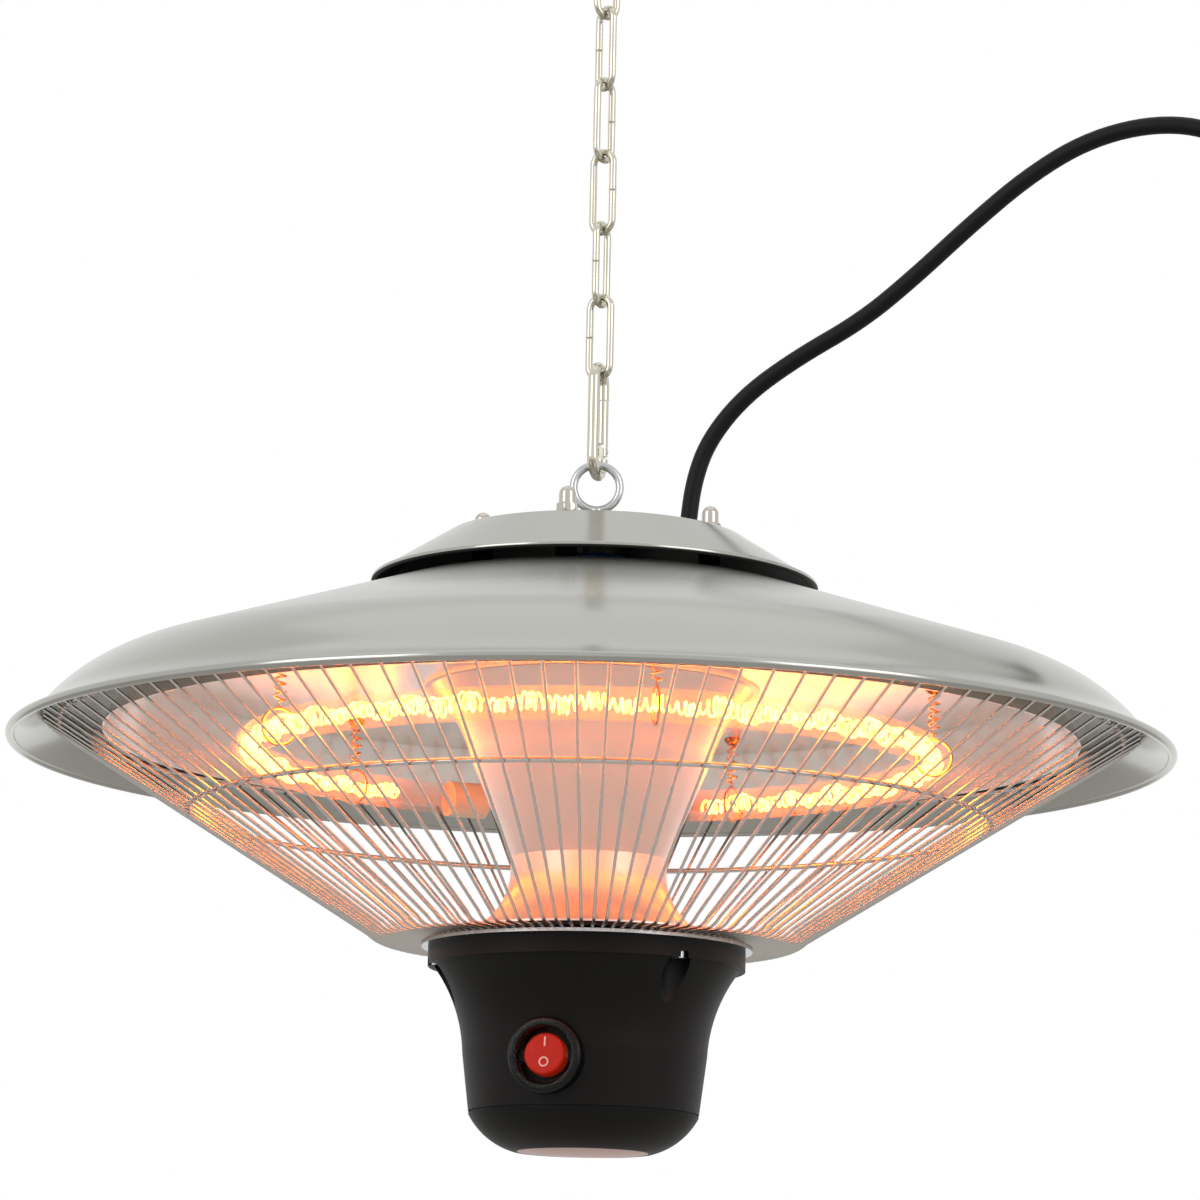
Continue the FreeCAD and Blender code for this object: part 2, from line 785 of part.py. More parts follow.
def cap_nut(x, y):
    """An acorn nut: a hexagon under a round dome, with a blind bore."""
    dome = z.cap_nut_flats * 0.47
    ball = sphere(dome, x, y, cap_seat + z.cap_nut_skirt + z.cap_nut_dome - dome)
    solid = fuse(hexagon(z.cap_nut_flats, z.cap_nut_skirt, x, y, cap_seat), ball)
    return cut(solid, cylinder(bolt_bore / 2, z.cap_nut_skirt + z.running_gap, x, y, cap_seat))


node("cap_nuts", hang(group(*[cap_nut(x, y) for x, y in bolt_places])))

# Top cover: a spun cone with a flat top and a beaded rim, drilled for eye, bolts and gland
bead = z.cover_bead
gauge = z.cover_gauge
eye_hole = shank_bore / 2
cover = turned("top_cover_blank", [
    (eye_hole, cover_top),
    (z.cover_top_radius, cover_top),
    (z.cover_radius - bead * 1.423, cover_bead_height + bead * 0.906),
    (z.cover_radius - bead * 1.985, cover_bead_height - bead * 0.174, bead, 2),
    (z.cover_top_radius - gauge / 2, cover_under),
    (eye_hole, cover_under),
])
rim_top = cover_bead_height + bead * 0.906
slope_width = z.cover_radius - bead * 1.423 - z.cover_top_radius
cover_slope = math.atan2(float(cover_top - rim_top), float(slope_width))
gland_out = Vector(*[float(v) for v in around(1, z.gland_angle)], 0)
gland_way = gland_out * math.sin(cover_slope) + UP * math.cos(cover_slope)
gland_radius = z.cover_radius - z.gland_inset
gland_drop = float(gland_radius - z.cover_top_radius) * math.tan(cover_slope)
gland_seat = gland_out * float(gland_radius) + UP * (float(cover_top) - gland_drop)
GLAND_TURN = FreeCAD.Rotation(UP, gland_way)
hole_low = gland_seat - gland_way * (3 * float(gauge))
gland_hole = cylinder(z.gland_stem_diameter / 2 + z.running_gap, gauge * 6, *hole_low, GLAND_TURN)
cover_holes = [cylinder(bolt_bore / 2, gauge * 3, x, y, cover_top - gauge * 2) for x, y in bolt_places]
node("top_cover", hang(cut(cover, gland_hole, *cover_holes)))

# Shade: a spun dish with a flat crown, a long cone, a rounded shoulder, a flared skirt and a rolled rim
bead = z.rim_bead
gauge = z.shade_gauge
shoulder_radius = z.rim_radius - z.shoulder_inset
flare_radius = z.rim_radius - z.flare_inset
shade = turned("shade_blank", [
    (z.crown_hole, z.crown_height),
    (z.crown_radius, z.crown_height),
    (shoulder_radius, z.shoulder_start_height),
    (flare_radius, z.flare_start_height, z.shoulder_round, 1),
    (z.rim_radius - bead * 1.423, bead * 0.906, z.flare_round, -1),
    (z.rim_radius - bead * 1.985, bead * -0.174, bead, 2),
    (flare_radius - gauge / 4, z.flare_start_height - gauge, z.flare_round, 1),
    (shoulder_radius, z.shoulder_start_height - gauge, z.shoulder_round, -1),
    (z.crown_radius, crown_under),
    (z.crown_hole, crown_under),
])
shade_holes = [cylinder(bolt_bore / 2, gauge * 3, x, y, z.crown_height - gauge * 2) for x, y in bolt_places]
node("shade", hang(cut(shade, *shade_holes)))

# Inner reflector: a polished dish with a turned-down edge
gauge = z.reflector_gauge
ceiling = z.reflector_ceiling_height
dish_radius = z.rim_radius - z.reflector_inset
dish_flat = dish_radius - z.reflector_skirt_width
dish = turned("reflector_blank", [
    (z.reflector_hole, ceiling + gauge),
    (dish_flat, ceiling + gauge),
    (dish_radius + gauge, z.reflector_lip_height, z.reflector_round + gauge, 1),
    (dish_radius, z.reflector_lip_height),
    (dish_flat, ceiling, z.reflector_round, -1),
    (z.reflector_hole, ceiling),
])
dish_holes = [cylinder(bolt_bore / 2, gauge * 3, x, y, ceiling - gauge) for x, y in bolt_places]
node("reflector", hang(cut(dish, *dish_holes)))

# Centre column: a spun cone that flares to a flange under the reflector
gauge = z.column_gauge
flange_inside = z.column_flange_radius
flange_edge = flange_inside + 4 * gauge
node("centre_column", turned("column_blank", [
    (z.column_low_radius, z.column_low_height),
    (z.column_low_radius - gauge, z.column_low_height),
    (z.column_high_radius - gauge, z.column_high_height),
    (flange_inside, ceiling, z.column_flare_round, 1),
    (flange_edge, ceiling),
    (flange_edge, ceiling - gauge),
    (flange_inside + gauge, ceiling - gauge),
    (z.column_high_radius, z.column_high_height, z.column_flare_round, -1),
], rim))

# Trumpet reflector: a collar under the column that flares out to a flat flange
gauge = z.trumpet_gauge
collar_low = z.column_low_height - z.trumpet_collar
trumpet_flange = z.spacer_ring_outside - 1
spacer_top = z.trumpet_edge_height - gauge
trumpet = turned("trumpet_blank", [
    (z.column_low_radius, z.column_low_height),
    (z.column_low_radius, collar_low),
    (z.trumpet_edge_radius, z.trumpet_edge_height, z.trumpet_round, -1),
    (trumpet_flange, z.trumpet_edge_height),
    (trumpet_flange, spacer_top),
    (z.trumpet_edge_radius - gauge / 2, spacer_top),
    (z.column_low_radius - gauge, collar_low - gauge / 2, z.trumpet_round, 1),
    (z.column_low_radius - gauge, z.column_low_height),
])

# Guard: bent wires from the skirt to a flange, with two hoops on their inner side
wire = z.guard_wire / 2
foot_low = z.guard_foot_height - wire - z.contact_gap
foot_high = z.guard_foot_height + wire + z.contact_gap
guard_radius = z.rim_radius - z.guard_inset
fall_across = guard_radius - z.guard_bend_radius
fall_down = z.guard_top_height - z.guard_foot_height
fall = root(fall_across * fall_across + fall_down * fall_down)
inward = fall_down / fall
upward = fall_across / fall
guard_points = [
    Vector(0, -float(guard_radius), float(z.guard_top_height)),
    Vector(0, -float(z.guard_bend_radius), float(z.guard_foot_height)),
    Vector(0, -float(z.guard_foot_radius), float(z.guard_foot_height)),
]
one_wire = tube_along(rounded_path(guard_points, float(z.guard_bend_round))[0], float(wire))
guard_wires = []
wire_count = int(float(z.guard_wire_count))
for k in range(wire_count):
    copy = one_wire.copy()
    copy.rotate(Vector(0, 0, 0), Vector(0, 0, 1), 360 * (k + 0.5) / wire_count)
    guard_wires.append(copy)
node("guard_wires", from_shape(Part.makeCompound(guard_wires), h=rim))


def guard_hoop(label, radius, thickness):
    """A hoop welded on the inner side of the guard wires, where their middles lie at a radius."""
    offset = wire + thickness / 2 + z.contact_gap
    height = z.guard_top_height - (guard_radius - radius) * fall_down / fall_across
    node(label, hang(torus(radius - offset * inward, thickness / 2, h=height + offset * upward)))


guard_hoop("guard_mid_hoop", z.guard_mid_radius, z.guard_mid_wire)
guard_hoop("guard_top_hoop", guard_radius - 2 * z.guard_top_wire, z.guard_top_wire)
SCREWS = 3
screw_places = [around(z.screw_circle, z.screw_first_angle + 360 / SCREWS * k) for k in range(SCREWS)]
screw_bore = z.screw_diameter / 2 + z.running_gap
lip_top = foot_low - z.guard_flange_gauge
flange = washer(2 * z.guard_flange_outside, 2 * z.guard_flange_inside, z.guard_flange_gauge, h=lip_top)
flange_holes = [cylinder(screw_bore, z.guard_flange_gauge, x, y, lip_top) for x, y in screw_places]
node("guard_flange", hang(cut(flange, *flange_holes)))
ring_height = spacer_top - foot_high
spacer_ring = washer(2 * z.spacer_ring_outside, 2 * z.spacer_ring_inside, ring_height, h=foot_high)
lip_gauge = z.lip_height - z.screw_head_height
screw_seat = lip_top - lip_gauge
screw_top = screw_seat + z.screw_length
ring_holes = [cylinder(screw_bore, screw_top - foot_high, x, y, foot_high) for x, y in screw_places]
node("spacer_ring", hang(cut(spacer_ring, *ring_holes)))
node("trumpet_reflector", hang(cut(trumpet, *ring_holes)))
node("housing_screws", hang(group(*[
    fuse(cylinder(z.screw_head_diameter / 2, z.screw_head_height, x, y, screw_seat - z.screw_head_height),
         cylinder(z.screw_diameter / 2, z.screw_length, x, y, screw_seat))
    for x, y in screw_places])))

# Lower housing: a moulded cup with a lip, a hollow flank, three screw pockets and a hole for the switch
wall = z.housing_wall
lip_low = lip_top - z.lip_height
flank_top = z.lip_radius - wall
seam_radius = z.housing_seam_radius
seam_height = z.housing_seam_height
housing_outline = [
    (z.lip_radius, lip_top),
    (z.lip_radius, lip_low),
    (flank_top, lip_low),
    (z.housing_waist_radius, z.housing_waist_height, z.housing_flank_round, -1),
    (seam_radius, seam_height),
]
hollow_outline = [
    (seam_radius - wall, seam_height),
    (z.housing_waist_radius - wall, z.housing_waist_height),
    (flank_top - wall, lip_low - wall / 2, z.housing_flank_round, 1),
    (z.spacer_ring_inside, lip_top - lip_gauge),
    (z.spacer_ring_inside, lip_top),
]
cup = turned("housing_blank", housing_outline + hollow_outline)
envelope = turned("housing_envelope", housing_outline + [(0, seam_height), (0, lip_top)])
pocket_low = screw_seat - z.screw_pocket_depth
boss_radius = z.screw_pocket_diameter / 2 + z.screw_pocket_wall
boss_low = pocket_low - z.screw_pocket_wall
boss_height = screw_seat + lip_gauge / 2 - boss_low
bosses = [cylinder(boss_radius, boss_height, x, y, boss_low) for x, y in screw_places]
pocket_radius = z.screw_pocket_diameter / 2
pockets = [cylinder(pocket_radius, z.screw_pocket_depth, x, y, pocket_low) for x, y in screw_places]
lip_holes = [cylinder(screw_bore, lip_gauge, x, y, screw_seat) for x, y in screw_places]

# Rocker switch: all its pieces are made along -Y at the front and turned to their place about Z
FACING = FreeCAD.Rotation(Vector(1, 0, 0), 90)


def barrel(radius, length, face):
    """A round bar along Y at the switch's height, whose front end stands off the axis by face."""
    return cylinder(radius, length, 0, length - face, z.switch_height, FACING)


def at_switch(thing):
    return turn_about_z(hang(thing), z.switch_angle)


bezel_radius = z.bezel_diameter / 2
bezel_depth = z.bezel_lip * 3
bezel_hole = barrel(bezel_radius + z.running_gap, z.bezel_stem, z.switch_face)
switch_hole = turn_about_z(group(bezel_hole), z.switch_angle)
boss_solids = common(envelope, group(*bosses))
node("lower_housing", hang(cut(fuse(cup, boss_solids), *pockets, *lip_holes, switch_hole)))
bezel = cut(barrel(bezel_radius, bezel_depth, z.switch_face),
            barrel(z.bezel_bore / 2, bezel_depth, z.switch_face))
node("switch_bezel", at_switch(bezel))
pin_radius = z.rocker_pin_diameter / 2
lug = z.rocker_lug
body_front = z.switch_face - bezel_depth
pivot_off = body_front + z.rocker_pin_stand
body_radius = z.bezel_bore / 2 - z.running_gap
lug_inner = z.rocker_diameter / 2 + 2 * z.seat_gap
lug_reach = z.rocker_pin_stand + 1.4 * pin_radius
SIDEWAYS = FreeCAD.Rotation(Vector(0, 1, 0), 90)
pin_half = lug_inner + lug
lugs = [box(lug, lug_reach, 4 * pin_radius, x, -body_front - lug_reach, z.switch_height - 2 * pin_radius)
        for x in (lug_inner, -lug_inner - lug)]


def rocker_pin(radius):
    return cylinder(radius, 2 * pin_half, -pin_half, -pivot_off, z.switch_height, SIDEWAYS)


switch_block = fuse(barrel(body_radius, z.switch_body_length, body_front), *lugs)
node("switch_body", at_switch(cut(switch_block, rocker_pin(pin_radius))))
node("rocker_pin", at_switch(group(rocker_pin(pin_radius))))
tab_width = z.switch_tab_width
tab_gauge = z.switch_tab_gauge
tabs = [box(tab_width, z.switch_tab_length, tab_gauge, -tab_width / 2, z.switch_body_length - body_front,
            z.switch_height + z.switch_tab_spacing * k - tab_gauge / 2) for k in (-1, 0, 1)]
node("switch_tabs", at_switch(group(*tabs)))


def to_switch(shape):
    """Turns a shape that was made at the front to the switch's place."""
    shape.rotate(Vector(0, 0, 0), Vector(0, 0, 1), float(z.switch_angle))
    return from_shape(shape, h=rim)


# The rocker rests with its upper half pressed in
rocker_front = float(z.switch_face - z.rocker_set_back)
rocker_back = float(pivot_off - pin_radius - z.seat_gap)
switch_level = float(z.switch_height)
rocker = Part.makeCylinder(float(z.rocker_diameter) / 2, rocker_front - rocker_back,
                           Vector(0, -rocker_back, switch_level), Vector(0, -1, 0))
boxes = [(edge, edge.BoundBox) for edge in rocker.Edges]
front_edge = [edge for edge, room in boxes if abs(room.YMax + rocker_front) < 1e-6]
rocker = rocker.makeFillet(float(z.rocker_edge_round), front_edge)
pin_bore = Part.makeCylinder(float(pin_radius + z.running_gap), 2 * float(pin_half),
                             Vector(-float(pin_half), -float(pivot_off), switch_level), Vector(1, 0, 0))
rocker = rocker.cut(pin_bore)
rocker.rotate(Vector(0, -float(pivot_off), switch_level), Vector(1, 0, 0), -float(z.rocker_tilt))
node("rocker", to_switch(rocker))
face = float(z.switch_face)
cover_wall = float(z.switch_cover_wall)
dome_radius = float(z.switch_cover_radius)
dome_rise = float(z.switch_cover_rise)
ball = (dome_radius ** 2 + dome_rise ** 2) / (2 * dome_rise)
ball_centre = Vector(0, ball - face - dome_rise, switch_level)
before_face = Part.makeBox(2 * ball, ball, 2 * ball, Vector(-ball, -face - ball, switch_level - ball))
ball_hollow = Part.makeSphere(ball - cover_wall, ball_centre)
dome = Part.makeSphere(ball, ball_centre).cut(ball_hollow).common(before_face)
rim_radius = dome_radius + float(z.switch_cover_rim)
cover_rim = Part.makeCylinder(rim_radius, cover_wall, Vector(0, -face, switch_level), Vector(0, -1, 0))
node("switch_cover", to_switch(dome.fuse(cover_rim.cut(ball_hollow)).removeSplitter()))

# Bottom cap, lens, control board and receiver
groove = z.seam_groove
lens_seat = z.lens_height + wall
cap = turned("cap_blank", [
    (seam_radius - groove, seam_height),
    (seam_radius - groove, seam_height - groove),
    (seam_radius, seam_height - groove),
    (z.lens_radius + groove * 2, z.lens_height, z.cap_round, 1),
    (z.lens_radius + z.running_gap, z.lens_height),
    (z.lens_radius + z.running_gap, lens_seat),
    (z.lens_radius + wall * 2, lens_seat),
    (seam_radius - wall, seam_height - groove, z.cap_round, -1),
    (seam_radius - wall, seam_height),
])
board_ring = washer(2 * z.lens_radius + 5 * wall, 2 * z.lens_radius + 2.4 * wall,
                    z.board_height - lens_seat, h=lens_seat)
node("bottom_cap", hang(fuse(cap, board_ring)))
lens_top = lens_seat + z.lens_edge
lens_ball = (z.lens_radius * z.lens_radius + z.lens_crown * z.lens_crown) / (2 * z.lens_crown)
node("lens", turned("lens_blank", [
    (0, lens_top),
    (z.lens_radius + wall, lens_top),
    (z.lens_radius + wall, lens_seat),
    (z.lens_radius, lens_seat),
    (z.lens_radius, z.lens_height),
    (0, z.lens_height - z.lens_crown, lens_ball, 1),
], rim))
node("control_board", hang(cylinder(z.board_radius, z.board_gauge, h=z.board_height)))
receiver_drop = z.board_height - lens_top - z.lens_edge
receiver_edge = -z.receiver_side / 2
node("receiver", hang(box(z.receiver_side, z.receiver_side, receiver_drop,
                          receiver_edge, receiver_edge, z.board_height - receiver_drop)))

# Wiring: terminal block on the crown, three supply wires from the gland and a harness down to the switch
block = box(z.terminal_length, z.terminal_width, z.terminal_height,
            z.terminal_left, z.terminal_front, z.crown_height)
node("terminal_block", hang(block))
block_middle = float(z.terminal_left + z.terminal_length / 2)
block_front = float(z.terminal_front)
crown = float(z.crown_height)
supply_level = crown + float(z.supply_rise)
gland_low = gland_seat - gland_way * float(z.cover_gauge + z.gland_stem_length)
gland_side = gland_out.cross(UP)
# Places of the middle wire on its way round the eye bolt: x, y, rise above the crown, and how far each next
# wire stands forward as a share of the wires' pitch
SUPPLY_WAY = [(24, 42, 4.5, 0), (25, 10, 5.5, 0), (18, -16, 7.5, 0.7)]
supply = []
for k in (-1, 0, 1):
    entry = block_middle + float(z.terminal_offset - z.terminal_pitch * k)
    spread = float(z.supply_pitch) * k
    beside = gland_side * spread
    route = [
        gland_low + beside,
        gland_low + beside - gland_way * float(z.supply_stub),
        *[Vector(x + spread, y - spread * lead, crown + rise) for x, y, rise, lead in SUPPLY_WAY],
        Vector(float(z.supply_bow_side), -float(z.supply_bow) - spread, crown + float(z.supply_bow_rise)),
        Vector(entry, block_front - float(z.supply_lead) - spread, supply_level),
        Vector(entry, block_front, supply_level),
    ]
    supply.append(tube_along(rounded_path(route)[0], float(z.supply_wire) / 2))
node("supply_wires", from_shape(Part.makeCompound(supply), h=rim))
turn_in = float(z.switch_angle)
tab_end = float(body_front - z.switch_body_length - z.switch_tab_length)
tab_x, tab_y = (float(v) for v in around(tab_end - float(z.contact_gap), turn_in))
block_back = block_front + float(z.terminal_width)
block_level = crown + float(z.terminal_height) / 2
# Places of the harness on its way down through the column: x, y and depth below the crown
HARNESS_WAY = [(-12, 18, 12), (-8, 13, 32), (-5, 8, 58.5), (-3, 6.5, 98.5), (-4, 7, 140.5), (-3.5, -1, 164.5)]
harness_route = [
    Vector(block_middle, block_back, block_level),
    Vector(block_middle, block_back + float(z.harness_lead), block_level),
    *[Vector(x, y, crown - depth) for x, y, depth in HARNESS_WAY],
    Vector(tab_x / 2, tab_y / 2, switch_level),
    Vector(tab_x, tab_y, switch_level),
]
harness = tube_along(rounded_path(harness_route)[0], float(z.harness_diameter / 2))
node("wire_harness", from_shape(harness, h=rim))

# Heating element: a quartz ring with a coiled filament, capped ends, leads and sprung wire hoops
ring = z.tube_ring_radius
tube_radius = z.tube_diameter / 2
span = z.tube_end_angle - z.tube_start_angle


def ring_sweep(radius):
    sweep = bind(torus(ring, radius), Angle3=span)
    return turn_about_z(sweep, z.tube_start_angle - 90)


tube_level = float(z.tube_height)
quartz = cut(ring_sweep(tube_radius), ring_sweep(tube_radius - z.tube_wall))
node("quartz_tube", put(quartz, h=rim + z.tube_height))


def on_ring(angle, out=0.0, up=0.0):
    """A point by the tube's middle line: angle from the front, distance outwards and height above it."""
    x, y = around(float(ring) + out, angle)
    return Vector(float(x), float(y), tube_level + up)


def ring_way(angle):
    a = math.radians(angle)
    return Vector(math.cos(a), math.sin(a), 0)


coil_radius = float(z.filament_coil - z.filament_wire) / 2
turns = int(float(z.filament_turns))
first_angle = float(z.tube_start_angle + z.filament_inset_angle)
last_angle = float(z.tube_end_angle - z.filament_inset_angle)
turn_angle = (last_angle - first_angle) / turns


def on_filament(t):
    """A point of the coiled filament after t turns."""
    a = 2 * math.pi * t
    return on_ring(first_angle + turn_angle * t, coil_radius * math.cos(a), coil_radius * math.sin(a))


steps = [k / 2 for k in range(2 * turns + 1)]
places = [on_filament(t) for t in steps]
ways = [way_along(on_filament, t) for t in steps]
end_angle = math.degrees(float(z.filament_wire + z.contact_gap) / float(ring))
end_angles = (float(z.tube_start_angle) + end_angle, float(z.tube_end_angle) - end_angle)
filament_edges = straight_ended(
    [on_ring(end_angles[0]), *places, on_ring(end_angles[1])],
    [ring_way(end_angles[0]), *ways, ring_way(end_angles[1])], float(z.filament_wire))
filament = tube_along(filament_edges, float(z.filament_wire / 2))
turn_length = math.hypot(2 * math.pi * coil_radius, math.radians(turn_angle) * float(ring))
gap = least_gap(filament_edges, float(z.filament_wire), turn_length)
print(f"filament: {turns} turns, least gap {gap:.2f} mm")
node("filament", from_shape(filament, h=rim))
end_caps = []
leads = []
cap_length = float(z.end_cap_length)
lead_top = float(z.reflector_ceiling_height) - float(z.contact_gap)
for angle, sign in ((float(z.tube_start_angle), -1), (float(z.tube_end_angle), 1)):
    way = ring_way(angle) * sign
    start = on_ring(angle)
    end_caps.append(Part.makeCylinder(float(z.end_cap_diameter / 2), cap_length, start, way))
    outer = start + way * cap_length
    bend = outer + way * float(z.lead_reach)
    lead_route = [outer, bend, Vector(bend.x, bend.y, lead_top)]
    leads.append(tube_along(rounded_path(lead_route, float(z.lead_round))[0], float(z.lead_diameter / 2)))
node("tube_end_caps", from_shape(Part.makeCompound(end_caps), h=rim))
node("element_leads", from_shape(Part.makeCompound(leads), h=rim))
hoop_count = int(float(z.hoop_count))
hoop_angles = [float(z.hoop_first_angle) + 360 / hoop_count * k for k in range(hoop_count)]
hoop_ring = float(tube_radius + z.hoop_wire / 2 + z.contact_gap)
hoop_radius = float(z.hoop_wire / 2)
spring_radius = float(z.spring_coil - z.spring_wire) / 2
spring_turns = int(float(z.spring_turns))
spring_wire = float(z.spring_wire)
spring_low = hoop_ring + hoop_radius + float(z.contact_gap)
spring_high = lead_top - tube_level
spring_foot = 2.5 * spring_wire
spring_rise = (spring_high - spring_low - 2 * spring_foot) / spring_turns


def on_spring(t):
    """A point of a hoop spring after t turns, on the Z axis and above the tube's middle line."""
    a = 2 * math.pi * t
    height = spring_low + spring_foot + spring_rise * t
    return Vector(spring_radius * math.cos(a), spring_radius * math.sin(a), height)


steps = [k / 4 for k in range(4 * spring_turns + 1)]
places = [UP * (spring_low + spring_wire), *[on_spring(t) for t in steps], UP * (spring_high - spring_wire)]
ways = [UP, *[way_along(on_spring, t) for t in steps], UP]
spring_edges = straight_ended(places, ways, spring_wire)
one_spring = tube_along(spring_edges, spring_wire / 2)
gap = least_gap(spring_edges, spring_wire, math.hypot(2 * math.pi * spring_radius, spring_rise))
print(f"hoop springs: {spring_turns} turns each, least gap {gap:.2f} mm")
hoops = []
springs = []
for angle in hoop_angles:
    hoops.append(Part.makeTorus(hoop_ring, hoop_radius, on_ring(angle), ring_way(angle)))
    copy = one_spring.copy()
    copy.rotate(Vector(0, 0, 0), UP, angle)
    copy.translate(on_ring(angle))
    springs.append(copy)
node("tube_hoops", from_shape(Part.makeCompound(hoops), h=rim))
node("hoop_springs", from_shape(Part.makeCompound(springs), h=rim))

# Cord: a gland on the slope of the cover, with its strain relief
cord = float(z.cord_diameter)
stem_low = -z.cover_gauge - z.gland_stem_length
gland = turned("gland_blank", [
    (0, stem_low),
    (z.gland_stem_diameter / 2, stem_low),
    (z.gland_stem_diameter / 2, z.contact_gap),
    (z.gland_flange_diameter / 2, z.contact_gap),
    (z.gland_flange_diameter / 2, z.gland_flange_thickness),
    (z.cord_diameter * 0.9, z.gland_flange_thickness),
    (z.cord_diameter * 0.65, z.gland_relief_length),
    (0, z.gland_relief_length),
])
node("cord_gland", put(gland, gland_seat.x, gland_seat.y, rim + gland_seat.z, GLAND_TURN))

# The put-away coil lies on the shade behind the cover, where it slopes down from the crown
shade_fall = z.crown_height - z.shoulder_start_height
shade_slope = math.atan2(float(shade_fall), float(shoulder_radius - z.crown_radius))
coil_out = Vector(*[float(v) for v in around(1, z.coil_angle)], 0)
coil_along = UP.cross(coil_out) * -1
coil_up = UP * math.sin(shade_slope) - coil_out * math.cos(shade_slope)
coil_lift = UP * math.cos(shade_slope) + coil_out * math.sin(shade_slope)
coil_outer = float(z.coil_outer_radius)
coil_pitch = float(z.coil_pitch)
coil_reach = float(z.cover_radius + z.coil_room) + (coil_outer + cord / 2) * math.cos(shade_slope)
coil_floor = crown - (coil_reach - float(z.crown_radius)) * math.tan(shade_slope)
coil_centre = coil_out * coil_reach + UP * coil_floor + coil_lift * (cord / 2 + float(z.coil_seat))
part_turn = (float(z.coil_start_angle) - float(z.coil_end_angle)) % 360 / 360
coil_turns = float(z.coil_whole_turns) + part_turn
CLIMB = 0.5


def on_coil(t):
    """A point of the cord after t turns of the coil: the upper layer spirals in, the lower one out again."""
    radius = coil_outer - coil_pitch * min(t, coil_turns - t)
    climb = min(max((t - coil_turns / 2) / CLIMB + 0.5, 0), 1)
    height = coil_pitch * (1 - climb * climb * (3 - 2 * climb))
    a = math.radians(float(z.coil_start_angle)) - 2 * math.pi * t
    level = coil_along * (radius * math.cos(a)) + coil_up * (radius * math.sin(a))
    return coil_centre + level + coil_lift * height


quarters = round(4 * coil_turns)
steps = [coil_turns * k / quarters for k in range(quarters + 1)]
places = [on_coil(t) for t in steps]
ways = [way_along(on_coil, t) for t in steps]

# The way from the gland over to the coil: x, y and height
LEAD_IN = [
    (16, 99, 103.5), (13.5, 114, 105.5), (6, 127.5, 100.5), (-6.5, 138, 90), (-23, 145, 76), (-43, 148, 61),
]
gland_end = gland_seat + gland_way * float(z.gland_relief_length)
lead_points = [
    gland_end,
    gland_end + gland_way * float(z.cord_run_out),
    *[Vector(*place) for place in LEAD_IN],
    places[0] - ways[0] * float(z.coil_run_in),
    places[0],
]
lead_edges, lead_radii = rounded_path(lead_points)
coil_edges = [*lead_edges, *biarcs(places, ways)]
gap = least_gap(coil_edges, cord, 2 * math.pi * (coil_outer - coil_pitch))
node("cord_coil", from_shape(tube_along(coil_edges, cord / 2), h=rim))

# The way from the coil up behind the cover and out to the right: x, y and height
CORD_ROUTE = [
    (-28, 87, 58.5), (-10, 98, 56.5), (8, 104.5, 59.5), (21, 108, 67.5), (30, 110, 79), (35, 110.5, 93),
    (36, 111, 109), (38, 111, 126), (43.5, 110, 142), (57, 106, 159), (77, 99, 173), (102, 90, 186.5),
    (122, 81, 202.5), (142.5, 72, 221), (163.5, 62, 238), (185, 52, 250), (208.5, 42, 254.5),
    (230, 35, 251.5), (246, 31, 240), (253, 29, 222), (253, 28, 204),
]
cord_points = [
    places[-1],
    places[-1] + ways[-1] * float(z.coil_run_off),
    *[Vector(*place) for place in CORD_ROUTE],
]
cord_edges, cord_radii = rounded_path(cord_points)
node("cord_free", from_shape(tube_along(cord_edges, cord / 2), h=rim))
print("cord radii", [round(radius) for radius in lead_radii], [round(radius) for radius in cord_radii])
lengths = [sum(edge.Length for edge in edges) for edges in (coil_edges, cord_edges)]
print(f"cord: lead and coil {lengths[0]:.0f} mm, free {lengths[1]:.0f} mm, least gap {gap:.2f} mm")

# Coil tie: a flat band round the bundle, on the side away from the free stretch
tie_room = float(z.tie_room)
tie_wall = float(z.tie_thickness)
tie_width = float(z.tie_width)
bundle_out = coil_outer + cord / 2 + tie_room
bundle_in = coil_outer - coil_pitch * coil_turns / 2 - cord / 2 - tie_room
bundle_low = -cord / 2 - tie_room
bundle_high = coil_pitch + cord / 2 + tie_room


def tie_block(wall):
    """The bundle's room as a block, thicker by a wall on all four sides."""
    return Part.makeBox(bundle_out - bundle_in + 2 * wall, tie_width, bundle_high - bundle_low + 2 * wall,
                        Vector(bundle_in - wall, -tie_width / 2, bundle_low - wall))


tie = tie_block(tie_wall).cut(tie_block(0))
tie_turn = FreeCAD.Rotation(coil_along * -1, coil_up, coil_lift, "XYZ")
tie.Placement = FreeCAD.Placement(coil_centre, tie_turn)
node("coil_tie", from_shape(tie, h=rim))

# Plug: a body that widens from its grip to its face, with a strain relief and two round pins
relief_low = -z.plug_relief_length
plug_low = relief_low - z.plug_body_length
plug = turned("plug_blank", [
    (0, 0),
    (z.cord_diameter * 0.65, 0),
    (z.plug_relief_radius, relief_low),
    (z.plug_grip_radius, relief_low),
    (z.plug_radius, plug_low + z.plug_face_thickness),
    (z.plug_radius, plug_low),
    (0, plug_low),
])
pin_end = z.plug_pin_diameter / 2
pin_low = plug_low - z.plug_pin_length + pin_end
pins = [fuse(cylinder(pin_end, z.plug_pin_length - pin_end, x, 0, pin_low), sphere(pin_end, x, 0, pin_low))
        for x in (z.plug_pin_spacing / 2, -z.plug_pin_spacing / 2)]
plug_way = cord_points[-1].sub(cord_points[-2]).normalize()
plug_place = FreeCAD.Placement(cord_points[-1] + UP * float(rim), FreeCAD.Rotation(UP * -1, plug_way))
for label, thing in (("plug_body", plug), ("plug_pins", group(*pins))):
    thing.Placement = plug_place
    node(label, thing)


